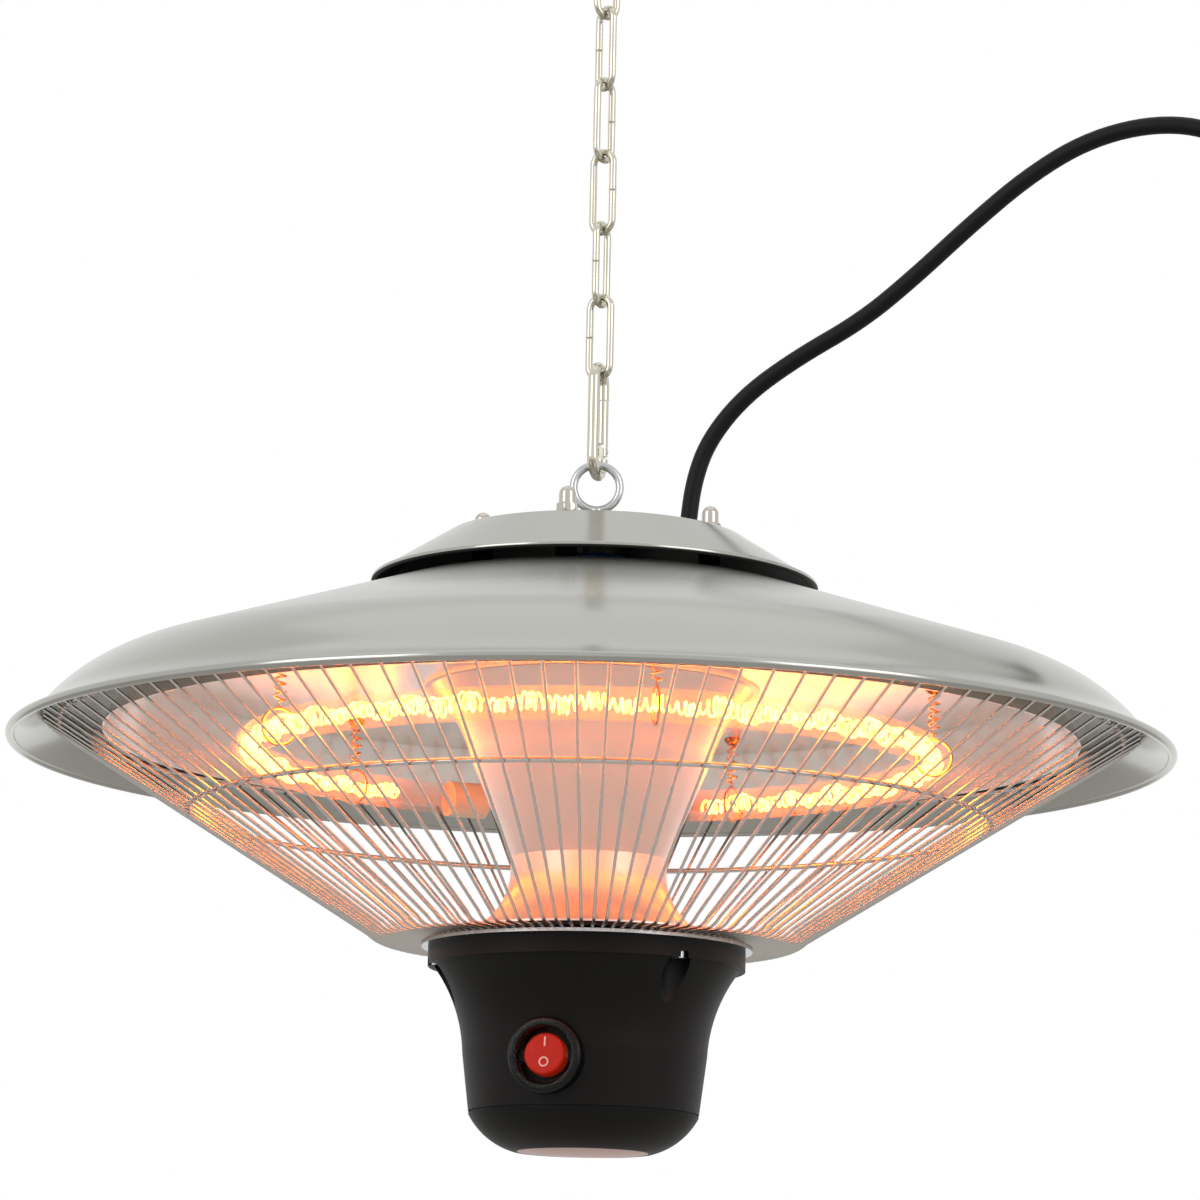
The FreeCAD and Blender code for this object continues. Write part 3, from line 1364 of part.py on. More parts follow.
def finish():
    """Recomputes, checks every object and writes each sub-part to its file."""
    doc.recompute()
    for thing in doc.Objects:
        if "Invalid" in thing.State or "Error" in thing.State:
            raise RuntimeError(f"{thing.Name} ({thing.Label}) failed: {thing.State}")
    for thing in nodes:
        if thing.Shape.isNull() or not thing.Shape.isValid() or not thing.Shape.Solids:
            raise RuntimeError(f"{thing.Label} has no sound solid")
    os.makedirs("parts", exist_ok=True)
    for thing in nodes:
        thing.Shape.exportStep(f"parts/{thing.Label}.step")
    print(f"{len(nodes)} sub-parts written")


finish()
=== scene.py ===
# %% [markdown]
# # A ceiling infrared heater
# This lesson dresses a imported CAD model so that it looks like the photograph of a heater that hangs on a
# chain. The CAD says where every piece is; here the spun sheet metal, the wires, the glowing filament and
# the cord get their finished shapes and materials. Sizes are in millimetres until they become vertices.

# %% Load the frame
import math
import random

import bmesh
import bpy
from mathutils import Matrix, Vector


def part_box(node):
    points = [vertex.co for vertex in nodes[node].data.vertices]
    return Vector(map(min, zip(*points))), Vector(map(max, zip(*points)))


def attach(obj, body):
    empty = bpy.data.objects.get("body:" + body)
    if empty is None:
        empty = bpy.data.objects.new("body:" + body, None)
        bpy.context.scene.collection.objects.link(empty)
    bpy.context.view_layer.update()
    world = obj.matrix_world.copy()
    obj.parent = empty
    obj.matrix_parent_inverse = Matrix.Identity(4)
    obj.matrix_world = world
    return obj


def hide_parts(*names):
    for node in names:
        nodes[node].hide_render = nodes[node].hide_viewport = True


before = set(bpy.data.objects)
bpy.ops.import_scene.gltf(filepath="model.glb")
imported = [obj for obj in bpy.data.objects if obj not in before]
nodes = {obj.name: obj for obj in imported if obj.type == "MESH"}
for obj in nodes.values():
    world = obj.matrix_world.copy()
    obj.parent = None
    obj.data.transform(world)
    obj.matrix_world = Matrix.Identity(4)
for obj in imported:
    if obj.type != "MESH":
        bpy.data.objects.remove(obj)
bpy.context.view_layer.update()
MM = 0.001
RIM = -340.0
CHAIN_BODIES = [f"link_{k}" for k in range(1, 7)]

# %% [markdown]
# The camera stands low, looks up by ten degrees and is a little rolled. It could be placed by eye, but the
# rims of the shade and of the cover are circles that the photograph shows as ellipses. Their widths, heights
# and tilts give the camera's place, its angles and the length of its lens.

# %% Camera
CAMERA_PLACE = (0.0, -1807.3, -615.2)
CAMERA_PITCH = 10.42
CAMERA_YAW = -0.066
CAMERA_ROLL = 1.2
LENS = 150.3
SENSOR = 36.0

lens = bpy.data.cameras.new("photo_camera")
lens.lens = LENS
lens.sensor_width = SENSOR
camera = bpy.data.objects.new("photo_camera", lens)
bpy.context.scene.collection.objects.link(camera)
camera.location = Vector(CAMERA_PLACE) * MM
yaw = Matrix.Rotation(math.radians(CAMERA_YAW), 4, "Z")
pitch = Matrix.Rotation(math.radians(90 + CAMERA_PITCH), 4, "X")
roll = Matrix.Rotation(math.radians(CAMERA_ROLL), 4, "Z")
camera.rotation_euler = (yaw @ pitch @ roll).to_euler()
bpy.context.scene.camera = camera
print("camera", tuple(round(v, 4) for v in camera.location))

# %% [markdown]
# Colours are written as sRGB hex, as a colour picker shows them, and turned into linear light by one
# function. One more function adds a node, fills its sockets and links those that are given a socket. Patterns
# have their sizes in millimetres, and a noise texture's scale is how many of them go into a metre.

# %% Colours and nodes


def linear(code):
    """A linear colour with full alpha from an sRGB hex code."""
    parts = [int(code[i:i + 2], 16) / 255 for i in (1, 3, 5)]
    return [p / 12.92 if p <= 0.04045 else ((p + 0.055) / 1.055) ** 2.4 for p in parts] + [1.0]


def add(tree, kind, sockets=None, **settings):
    """Adds a node: settings are its properties, sockets its inputs by name or number."""
    made = tree.nodes.new(kind)
    for name, value in settings.items():
        setattr(made, name, value)
    for key, value in (sockets or {}).items():
        if isinstance(value, bpy.types.NodeSocket):
            tree.links.new(value, made.inputs[key])
        else:
            made.inputs[key].default_value = value
    return made


def material(name, color, metallic, roughness, **sockets):
    """A material with one Principled shader, whose other inputs are given by their names."""
    made = bpy.data.materials.new(name)
    made.use_nodes = True
    made.node_tree.nodes.clear()
    plain = {"Base Color": linear(color), "Metallic": metallic, "Roughness": roughness}
    plain.update({key.replace("_", " "): value for key, value in sockets.items()})
    shader = add(made.node_tree, "ShaderNodeBsdfPrincipled", plain)
    add(made.node_tree, "ShaderNodeOutputMaterial", {"Surface": shader.outputs[0]})
    return made, made.node_tree, shader


def roughen(tree, shader, height, low, high, depth, strength):
    """Lets a pattern from 0 to 1 drive a shader's roughness and a bump that is depth millimetres high."""
    spread = add(tree, "ShaderNodeMapRange", {"Value": height, "To Min": low, "To Max": high})
    bump = add(tree, "ShaderNodeBump", {"Height": height, "Strength": strength, "Distance": depth * MM})
    tree.links.new(spread.outputs[0], shader.inputs["Roughness"])
    tree.links.new(bump.outputs[0], shader.inputs["Normal"])


# %% [markdown]
# Spun metal is pressed over a turning form with a roller, which leaves fine rings round the axis. A picture
# of brushed metal would show a seam, so the rings come from a noise of the distance from the axis alone. The
# real ones are finer than a pixel, so they are drawn a millimetre or more apart. The shader's tangent runs
# round the axis and its stretch is turned by a quarter, so that reflections are drawn out across the rings,
# as on the real metal.

# %% Spun metals
SMUDGE = 111.0
RING_DEPTH = 0.02


def spun(name, color, roughness, ring, stretch, wear):
    """Sheet metal with rings about ring millimetres apart; wear says how uneven its shine is."""
    made, tree, shader = material(name, color, 1.0, roughness, Anisotropic=stretch, Anisotropic_Rotation=0.25)
    place = add(tree, "ShaderNodeTexCoord").outputs["Object"]
    level = add(tree, "ShaderNodeVectorMath", {0: place, 1: (1, 1, 0)}, operation="MULTIPLY")
    radius = add(tree, "ShaderNodeVectorMath", {0: level.outputs[0]}, operation="LENGTH")
    rings = add(tree, "ShaderNodeTexNoise", {
        "W": radius.outputs["Value"], "Scale": 1 / (ring * MM), "Detail": 3.0}, noise_dimensions="1D")
    smudge = add(tree, "ShaderNodeTexNoise", {"Vector": place, "Scale": 1 / (SMUDGE * MM), "Detail": 2.0})
    both = add(tree, "ShaderNodeMath", {0: rings.outputs[0], 1: smudge.outputs[0]}, operation="ADD")
    half = add(tree, "ShaderNodeMath", {0: both.outputs[0], 1: 0.5}, operation="MULTIPLY")
    roughen(tree, shader, half.outputs[0], roughness - wear, roughness + wear, RING_DEPTH, 0.25)
    tangent = add(tree, "ShaderNodeTangent", direction_type="RADIAL", axis="Z")
    tree.links.new(tangent.outputs[0], shader.inputs["Tangent"])
    return made


# Shade and cover: soft streaks of light that run up the slope, across the rings.
SPUN = spun("spun_aluminium", "#A7A7A1", 0.20, 1.11, 0.8, 0.04)
# Reflector: close to a mirror, so that the glowing ring shows in it a second time.
POLISHED = spun("polished_aluminium", "#E6E0DA", 0.22, 2.0, 0.3, 0.05)
# Column and trumpet: satin, so that the glow spreads evenly over them.
COLUMN = spun("column_aluminium", "#DAD5CF", 0.36, 1.43, 0.3, 0.05)
# Inside of the cover: a dark grey that is painted shade, so that the gap under the cover shows dark.
COVER_INSIDE_PAINTED_SHADE = spun("unpolished_aluminium", "#3A3937", 0.55, 1.43, 0.0, 0.05)
print("spun metals:", SPUN.name, POLISHED.name, COLUMN.name, COVER_INSIDE_PAINTED_SHADE.name)

# %% [markdown]
# The small steel pieces are plated in a bath. Scratches would be too fine to show at this size, so a cloudy
# noise in the roughness is enough to keep them from looking new. Nickel is warm and bright, zinc is whiter
# and duller, and wire that gets hot loses its plating and turns brown.

# %% Plated metals
PLATING_DEPTH = 0.03


def plated(name, color, roughness, cloud):
    """Plated metal whose shine varies in clouds of that many millimetres."""
    made, tree, shader = material(name, color, 1.0, roughness)
    place = add(tree, "ShaderNodeTexCoord").outputs["Object"]
    haze = add(tree, "ShaderNodeTexNoise", {"Vector": place, "Scale": 1 / (cloud * MM), "Detail": 4.0})
    roughen(tree, shader, haze.outputs[0], roughness * 0.6, roughness * 1.4, PLATING_DEPTH, 0.2)
    return made


# Chain and snap hook: warm and bright, with sharp dark edges.
NICKEL = plated("nickel_plated_steel", "#C6C1B2", 0.16, 4.55)
# Eye, washers, flange and anchor: cool white, a little hazy.
ZINC = plated("zinc_plated_steel", "#B8BABA", 0.24, 3.33)
# Cap nuts: the brightest pieces, with a small highlight on each dome.
BRIGHT_NUT = plated("bright_nickel_nut", "#BBB6AD", 0.12, 3.85)
# Guard: drawn wire that takes up the glow on one side and the room on the other.
GUARD_STEEL = plated("guard_wire_steel", "#C4C1BC", 0.24, 2.5)
# Springs, hoops and leads: browned by the heat.
RESISTANCE = plated("heat_blued_wire", "#D0A585", 0.28, 2.0)
# Rivets: small warm dots under the reflector.
COPPER = plated("copper_rivet", "#B97A55", 0.25, 2.5)
# Pins and tabs: pale yellow, as tinned brass is.
BRASS = plated("tinned_brass", "#D6CBB0", 0.25, 3.33)
print("plated metals ready")

# %% [markdown]
# Plastics and rubber take the grain of their mould, which a small noise gives as a bump and as uneven shine.
# The finest grain is under a tenth of a millimetre and wouldn't show, so it is drawn about half a millimetre
# wide. Glass and the clear cover are thin, so a low alpha with a shine on it stands for them: that lets the
# glow through and stays quick, where real refraction would be noisy.

# %% Plastics, rubber, ceramic and glass


def grained(name, color, roughness, grain, depth, **sockets):
    """A moulded material with a grain that is grain millimetres wide and depth millimetres deep."""
    made, tree, shader = material(name, color, 0.0, roughness, **sockets)
    place = add(tree, "ShaderNodeTexCoord").outputs["Object"]
    grit = add(tree, "ShaderNodeTexNoise", {"Vector": place, "Scale": 1 / (grain * MM), "Detail": 3.0})
    roughen(tree, shader, grit.outputs[0], roughness * 0.85, roughness * 1.15, depth, 0.35)
    return made


# Housing: heatproof plastic, matt with a fine grain and hardly a highlight.
BLACK = grained("black_heatproof_plastic", "#0B0A09", 0.5, 0.556, 0.05, Specular_IOR_Level=0.15)
# Switch's bezel: polished mould, so its edge has a thin bright line.
GLOSS_BLACK = grained("gloss_black_plastic", "#0A0A0A", 0.14, 1.11, 0.01, Specular_IOR_Level=0.2)
# Cord, plug and gland: soft black with one broad dull sheen.
RUBBER = grained("black_rubber", "#0B0B0C", 0.5, 0.4, 0.04, Specular_IOR_Level=0.18)
# Rocker: red plastic with a faint painted glow of its own that brightens the red; no lamp is built behind it.
RED_PAINTED_GLOW = grained("red_switch_plastic", "#A80E02", 0.40, 1.43, 0.02, Specular_IOR_Level=0.2,
              Emission_Color=linear("#FF3A0C"), Emission_Strength=0.14)
# Marks on the rocker: printed paint, off-white.
MARK = grained("white_switch_paint", "#E8D6CC", 0.5, 1.11, 0.01)
# Cover over the rocker: seen only by a faint shine.
CLEAR = grained("clear_switch_cover", "#120C0B", 0.05, 3.33, 0.01, Alpha=0.06, Specular_IOR_Level=0.15)
# Lens: milky plastic that lets infrared through.
LENS_PINK = grained("translucent_lens_plastic", "#B28478", 0.32, 1.67, 0.02, Specular_IOR_Level=0.3,
                    Subsurface_Weight=0.25, Subsurface_Radius=(0.004, 0.002, 0.0015))
# End caps of the tube: fired, dry and chalky.
CERAMIC = grained("ceramic_end_cap", "#D8CDBC", 0.62, 0.667, 0.06)
# Terminal block: ivory nylon.
TERMINAL = grained("terminal_block_plastic", "#E3DFD2", 0.42, 1.11, 0.03)
# Circuit board: glass fibre under green lacquer.
BOARD = grained("circuit_board", "#1F5B33", 0.45, 1.43, 0.02)
# Tube: clear quartz glass; its orange tint is painted glow from the wire in it.
QUARTZ_PAINTED_GLOW = grained("quartz_glass", "#FFC48A", 0.05, 4.0, 0.01, Alpha=0.12)
# Supply wires: each has the colour of its job.
INSULATION = {name: grained(f"{name}_wire_insulation", color, 0.42, 1.11, 0.02)
              for name, color in (("red", "#B3262A"), ("blue", "#2A5FA8"), ("yellow", "#A9B23A"))}
print("plastics, rubber, ceramic and glass ready")

# %% [markdown]
# The filament glows at some 1200 kelvin. A hidden lamp could light the reflector, but then its mirror image
# would be missing, so the wire itself gives the light that turns the reflector and the guard orange. A noise
# along the wire makes some of it hotter.

# %% Glowing wire
GLOW_STRENGTH, HOT_SPOT = 48.0, 3.85
GLOW, glow_tree, glow_shader = material("glowing_heating_wire", "#2A1208", 0.0, 0.6)
glow_place = add(glow_tree, "ShaderNodeTexCoord").outputs["Object"]
glow_noise = add(glow_tree, "ShaderNodeTexNoise", {"Vector": glow_place, "Scale": 1 / (HOT_SPOT * MM)})
glow_ramp = add(glow_tree, "ShaderNodeValToRGB", {"Fac": glow_noise.outputs[0]})
glow_ramp.color_ramp.elements[0].position = 0.35
glow_ramp.color_ramp.elements[0].color = linear("#FF5E12")
glow_ramp.color_ramp.elements[1].position = 0.62
glow_ramp.color_ramp.elements[1].color = linear("#FF8426")
glow_tree.links.new(glow_ramp.outputs[0], glow_shader.inputs["Emission Color"])
glow_shader.inputs["Emission Strength"].default_value = GLOW_STRENGTH
print("filament strength", GLOW_STRENGTH)

# %% [markdown]
# ## The cord
# The cord leaves a gland behind the cover, is wound into a coil that lies on the back of the shade, and
# comes up behind the cover to run out to the right. Bezier handles would have to be set point by point, so it
# is one NURBS curve with a round bevel. Its points repeat the CAD's route, and the coil's are worked out from
# the slopes of the cover and the shade, which the outlines further down use again.

# %% Cord
SHADE_TOP, CROWN_EDGE, SHOULDER_RADIUS, SHOULDER_HEIGHT = 58.5, 77, 175, 27
COVER_TOP, COVER_TOP_EDGE, COVER_SLOPE_END, COVER_SLOPE_LOW, COVER_RADIUS = 80, 54, 80.292, 63.487, 82
CORD = 6.8
LEAD_IN = [
    (16, 99, 103.5), (13.5, 114, 105.5), (6, 127.5, 100.5), (-6.5, 138, 90), (-23, 145, 76), (-43, 148, 61),
]
CORD_ROUTE = [
    (-28, 87, 58.5), (-10, 98, 56.5), (8, 104.5, 59.5), (21, 108, 67.5), (30, 110, 79), (35, 110.5, 93),
    (36, 111, 109), (38, 111, 126), (43.5, 110, 142), (57, 106, 159), (77, 99, 173), (102, 90, 186.5),
    (122, 81, 202.5), (142.5, 72, 221), (163.5, 62, 238), (185, 52, 250), (208.5, 42, 254.5),
    (230, 35, 251.5), (246, 31, 240), (253, 29, 222), (253, 28, 204),
]
UP = Vector((0, 0, 1))
GLAND_ANGLE, GLAND_RADIUS, GLAND_SEAT, RELIEF = math.radians(170), 72.0, 68.696, 20.0
GLAND_RUN, COIL_RUN_IN, COIL_RUN_OUT = 12, 18, 20
COVER_SLOPE = math.atan2(COVER_TOP - COVER_SLOPE_LOW, COVER_SLOPE_END - COVER_TOP_EDGE)
gland_out = Vector((math.sin(GLAND_ANGLE), -math.cos(GLAND_ANGLE), 0))
gland_way = gland_out * math.sin(COVER_SLOPE) + UP * math.cos(COVER_SLOPE)
gland_end = gland_out * GLAND_RADIUS + UP * GLAND_SEAT + gland_way * RELIEF
SHADE_SLOPE = math.atan2(SHADE_TOP - SHOULDER_HEIGHT, SHOULDER_RADIUS - CROWN_EDGE)
COIL_ANGLE, COIL_OUTER, COIL_PITCH, COIL_SEAT, COIL_ROOM = math.radians(222), 46.0, 7.5, 0.8, 1.5
COIL_START, COIL_TURNS, CLIMB = math.radians(-48), 4 + 222 / 360, 0.5
coil_out = Vector((math.sin(COIL_ANGLE), -math.cos(COIL_ANGLE), 0))
coil_along = coil_out.cross(UP)
coil_up = UP * math.sin(SHADE_SLOPE) - coil_out * math.cos(SHADE_SLOPE)
coil_lift = UP * math.cos(SHADE_SLOPE) + coil_out * math.sin(SHADE_SLOPE)
coil_reach = COVER_RADIUS + COIL_ROOM + (COIL_OUTER + CORD / 2) * math.cos(SHADE_SLOPE)
coil_floor = SHADE_TOP - (coil_reach - CROWN_EDGE) * math.tan(SHADE_SLOPE)
coil_centre = coil_out * coil_reach + UP * coil_floor + coil_lift * (CORD / 2 + COIL_SEAT)


def on_coil(t):
    """A point of the cord after t turns: the upper layer spirals in, the lower one out again."""
    radius = COIL_OUTER - COIL_PITCH * min(t, COIL_TURNS - t)
    climb = min(max((t - COIL_TURNS / 2) / CLIMB + 0.5, 0), 1)
    height = COIL_PITCH * (1 - climb * climb * (3 - 2 * climb))
    a = COIL_START - 2 * math.pi * t
    around = coil_along * radius * math.cos(a) + coil_up * radius * math.sin(a)
    return coil_centre + around + coil_lift * height


COIL_STEPS = 74
coil_points = [on_coil(COIL_TURNS * k / COIL_STEPS) for k in range(COIL_STEPS + 1)]
in_way = (on_coil(0.001) - on_coil(0)).normalized()
off_way = (on_coil(COIL_TURNS) - on_coil(COIL_TURNS - 0.001)).normalized()
cord_points = [gland_end, gland_end + gland_way * GLAND_RUN, *LEAD_IN, coil_points[0] - in_way * COIL_RUN_IN,
               *coil_points, coil_points[-1] + off_way * COIL_RUN_OUT, *CORD_ROUTE]
cord_curve = bpy.data.curves.new("cord", "CURVE")
cord_curve.dimensions = "3D"
cord_curve.bevel_depth = CORD / 2 * MM
cord_curve.bevel_resolution = 5
cord_curve.resolution_u = 6
spline = cord_curve.splines.new("NURBS")
spline.points.add(len(cord_points) - 1)
for point, place in zip(spline.points, cord_points):
    point.co = (*((Vector(place) + UP * RIM) * MM), 1.0)
spline.order_u = 3
spline.use_endpoint_u = True
cord_curve.materials.append(RUBBER)
cord = bpy.data.objects.new("cord", cord_curve)
bpy.context.scene.collection.objects.link(cord)
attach(cord, "heater")
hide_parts("cord_free", "cord_coil")
print("cord of", len(cord_points), "points")

# %% [markdown]
# ## Turned pieces
# Shade, cover, reflector and column are turned shapes. Each is an outline of corners (radius, height); a
# corner with a radius and a side is reached by an arc, as on a drawing. A Screw modifier could turn the
# outline, but it leaves doubles on the axis, so the rings are made one by one and joined, in enough steps for
# a smooth edge in a close view.

# %% Outlines and turning


def outline(corners, closed=True, fine=2.5):
    """Points of an outline from corners (x, y), reached by a line, or (x, y, radius, side), by an arc.

    The arc turns clockwise where side is above 0, and takes the long way round where it is 2 or -2.
    """
    points = []
    for i, corner in enumerate(corners):
        end = Vector(corner[:2])
        if len(corner) == 2 or (i == 0 and not closed):
            points.append(end)
            continue
        start = Vector(corners[i - 1][:2])
        radius, side = corner[2], corner[3]
        chord = end - start
        left = Vector((-chord.y, chord.x)).normalized()
        away = math.sqrt(max(radius ** 2 - (chord.length / 2) ** 2, 0))
        centre = (start + end) / 2 + left * away * math.copysign(1, side) * (1 if abs(side) > 1 else -1)
        a = math.atan2(start.y - centre.y, start.x - centre.x)
        b = math.atan2(end.y - centre.y, end.x - centre.x)
        turn = (b - a) % (2 * math.pi)
        turn = turn - 2 * math.pi if side > 0 else turn
        count = max(3, math.ceil(abs(turn) * radius / fine), math.ceil(abs(math.degrees(turn)) / 12))
        angles = [a + turn * k / count for k in range(1, count + 1)]
        points += [centre + Vector((math.cos(t), math.sin(t))) * radius for t in angles]
    return points


def finished(name, mesh, paint, body, *replaced, smooth=30):
    """Puts a mesh into the scene as a piece on a body, in place of CAD nodes."""
    if paint:
        mesh.materials.append(paint)
    mesh.shade_smooth()
    mesh.set_sharp_from_angle(angle=math.radians(smooth))
    piece = bpy.data.objects.new(name, mesh)
    bpy.context.scene.collection.objects.link(piece)
    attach(piece, body)
    if replaced:
        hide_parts(*replaced)
    return piece


def lathe(name, corners, steps, fine=2.5):
    """A mesh turned about Z from a closed outline in millimetres."""
    profile = outline(corners, fine=fine)
    work = bmesh.new()
    rings = []
    for k in range(steps):
        a = 2 * math.pi * k / steps
        places = [Vector((p.x * math.sin(a), -p.x * math.cos(a), p.y)) for p in profile]
        rings.append([work.verts.new(place * MM) for place in places])
    for k in range(steps):
        one, two = rings[k - 1], rings[k]
        for i in range(len(profile)):
            work.faces.new((one[i - 1], one[i], two[i], two[i - 1]))
    bmesh.ops.remove_doubles(work, verts=work.verts, dist=1e-7)
    bmesh.ops.recalc_face_normals(work, faces=work.faces)
    mesh = bpy.data.meshes.new(name)
    work.to_mesh(mesh)
    work.free()
    return mesh


def turned(name, corners, paint, *replaced, steps=256):
    """A turned piece of the heater, with heights above the shade's rim."""
    mesh = lathe(name, corners, steps)
    mesh.transform(Matrix.Translation((0, 0, RIM * MM)))
    piece = finished(name, mesh, paint, "heater", *replaced)
    print(name, len(mesh.polygons), "faces")
    return piece


# %% [markdown]
# The shade and the cover are spun from sheet and end in a bead, rolled over so that the edge isn't sharp.
# The cover's faces that look down get a second material, a dark grey that is painted shade. The reflector is
# thinner and polished; its edge is turned down.

# %% Shade, cover and reflector
SHADE_SHEET, SHADE_HOLE, SHOULDER_ARC, FLARE_ARC = 1.2, 30, 62, 26
COVER_SHEET, EYE_HOLE = 1, 2.6
REFLECTOR_TOP, REFLECTOR_HOLE, REFLECTOR_BEND, REFLECTOR_SHEET, LIP_HEIGHT = 24.8, 36, 156, 0.8, 3.6
turned("spun_shade", [
    (SHADE_HOLE, SHADE_TOP), (CROWN_EDGE, SHADE_TOP), (SHOULDER_RADIUS, SHOULDER_HEIGHT),
    (200.5, 8.2, SHOULDER_ARC, 1), (210.081, 1.54, FLARE_ARC, -1), (209.126, -0.296, 1.7, 2),
    (200.2, 7.0, FLARE_ARC, 1), (SHOULDER_RADIUS, SHOULDER_HEIGHT - SHADE_SHEET, SHOULDER_ARC, -1),
    (CROWN_EDGE, SHADE_TOP - SHADE_SHEET), (SHADE_HOLE, SHADE_TOP - SHADE_SHEET)], SPUN, "shade", steps=320)
cover = turned("spun_top_cover", [
    (EYE_HOLE, COVER_TOP), (52.5, COVER_TOP), (55.4, 79.1, 4, 1), (COVER_SLOPE_END, COVER_SLOPE_LOW),
    (79.618, 62.191, 1.2, 2), (54.9, 78.2), (53, COVER_TOP - COVER_SHEET),
    (EYE_HOLE, COVER_TOP - COVER_SHEET)], SPUN, "top_cover")
# Faces of the cover that look down get the dark painted shade.
cover.data.materials.append(COVER_INSIDE_PAINTED_SHADE)
for face in cover.data.polygons:
    face.material_index = 1 if face.normal.z < -0.2 else 0
turned("polished_reflector", [
    (REFLECTOR_HOLE, REFLECTOR_TOP), (REFLECTOR_BEND, REFLECTOR_TOP), (177.8, LIP_HEIGHT, 30.8, 1),
    (177, LIP_HEIGHT), (REFLECTOR_BEND, REFLECTOR_TOP - REFLECTOR_SHEET, 30, -1),
    (REFLECTOR_HOLE, REFLECTOR_TOP - REFLECTOR_SHEET)], POLISHED, "reflector")

# %% [markdown]
# In the middle stands a column that widens upwards, and under it a trumpet that throws the glow outwards.
# Both are satin, so that they show the glow as a soft gradient and not as a mirror image. They meet at the
# narrowest place.

# %% Column and trumpet
WAIST_OUTER, WAIST_INNER, WAIST_HEIGHT = 28.4, 27.6, -39
COLUMN_ARC, COLUMN_RIM, COLUMN_TOP, COLUMN_LOW = 60, 61.2, 24, 23.2
TRUMPET_ARC, TRUMPET_EDGE, TRUMPET_TOP, TRUMPET_LOW = 24, 56, -67, -67.8
turned("spun_column", [
    (WAIST_OUTER, WAIST_HEIGHT), (WAIST_INNER, WAIST_HEIGHT), (42.7, -3), (58, COLUMN_TOP, COLUMN_ARC, 1),
    (COLUMN_RIM, COLUMN_TOP), (COLUMN_RIM, COLUMN_LOW), (58.8, COLUMN_LOW), (43.5, -3, COLUMN_ARC, -1)],
    COLUMN, "centre_column", steps=160)
turned("spun_trumpet", [
    (WAIST_OUTER, WAIST_HEIGHT), (WAIST_OUTER, -45), (47, TRUMPET_TOP, TRUMPET_ARC, -1),
    (TRUMPET_EDGE, TRUMPET_TOP), (TRUMPET_EDGE, TRUMPET_LOW), (46.6, TRUMPET_LOW),
    (WAIST_INNER, -45.4, TRUMPET_ARC, 1), (WAIST_INNER, WAIST_HEIGHT)],
    COLUMN, "trumpet_reflector", steps=160)

# %% [markdown]
# ## Wires and chain
# A wire is a path with a round section. A curve's own bevel gives that section, so one function draws the
# curve and turns it into a mesh; a list of radii lets it swell or narrow, as at the weld of a chain link.

# %% Tubes


def tube(name, points, radius, closed=False, sides=10, radii=None, kind="POLY"):
    """A mesh tube along points in millimetres: straight from point to point, or smooth with NURBS."""
    curve = bpy.data.curves.new(name, "CURVE")
    curve.dimensions = "3D"
    curve.bevel_depth = radius * MM
    curve.bevel_resolution = max(1, sides // 4)
    curve.use_fill_caps = not closed
    line = curve.splines.new(kind)
    line.points.add(len(points) - 1)
    for i, (point, place) in enumerate(zip(line.points, points)):
        point.co = (*(Vector(place) * MM), 1.0)
        point.radius = radii[i] if radii else 1.0
    line.use_cyclic_u = closed
    line.order_u = 3
    line.use_endpoint_u = True
    holder = bpy.data.objects.new(name, curve)
    bpy.context.scene.collection.objects.link(holder)
    bpy.context.view_layer.update()
    mesh = bpy.data.meshes.new_from_object(holder.evaluated_get(bpy.context.evaluated_depsgraph_get()))
    bpy.data.objects.remove(holder)
    bpy.data.curves.remove(curve)
    mesh.name = name
    return mesh


def upright(points, yaw):
    """Points (x, height) of an upright plane that is turned about Z."""
    a = math.radians(yaw)
    return [Vector((p[0] * math.cos(a), p[0] * math.sin(a), p[1])) for p in points]


# %% [markdown]
# Each link is cut from wire, bent round and butt-welded half-way up one leg. The weld leaves a small
# swelling with a dark line in it. Copies of one link would be quicker, but each link moves on its own joint
# and is turned its own way, so a loop draws every link where it hangs.

# %% Chain links
LINK_TOP, LINK_STEP, LINK_DROP, LINK_BOW, LINK_WIRE = -29.9, 27.75, 30.7, 4.55, 2.7
LINK_YAWS = (38, -56, 53, -38, 63, -33)
WELD_SIDES = (1, -1, 1, 1, -1, -1)
WELD = [(-1.6, 1.0), (-0.8, 1.07), (-0.25, 1.08), (0.0, 0.9), (0.25, 1.08), (0.8, 1.07), (1.6, 1.0)]
BEND = [math.pi * i / 14 for i in range(15)]
for k, body in enumerate(CHAIN_BODIES):
    top = LINK_TOP - LINK_STEP * k
    low = top - LINK_DROP
    side = WELD_SIDES[k]
    leg = [(side * LINK_BOW, (top + low) / 2 + rise) for rise, swell in WELD]
    upper = [(side * LINK_BOW * math.cos(a), top - LINK_BOW + LINK_BOW * math.sin(a)) for a in BEND]
    lower = [(-side * LINK_BOW * math.cos(a), low + LINK_BOW - LINK_BOW * math.sin(a)) for a in BEND]
    path = upright(leg + upper + lower, LINK_YAWS[k])
    radii = [swell for rise, swell in WELD] + [1.0] * len(upper + lower)
    mesh = tube(f"welded_link_{k + 1}", path, LINK_WIRE / 2, True, 16, radii)
    finished(f"welded_link_{k + 1}", mesh, NICKEL, body, f"chain_link_{k + 1}", smooth=50)
print("six welded links")

# %% [markdown]
# The guard is made of many alike wires, so one wire is drawn and Geometry Nodes turn copies of it about
# the axis. Each wire hangs on the top hoop, runs down to the flange and bends flat under the ring.

# %% Guard wires
GUARD_WIRES, GUARD_WIRE = 108, 1.15
GUARD_LINE = [(199.0, 7.6), (80.2, -66.75), (73.5, -70.0, 10, 1), (56.5, -70.0)]


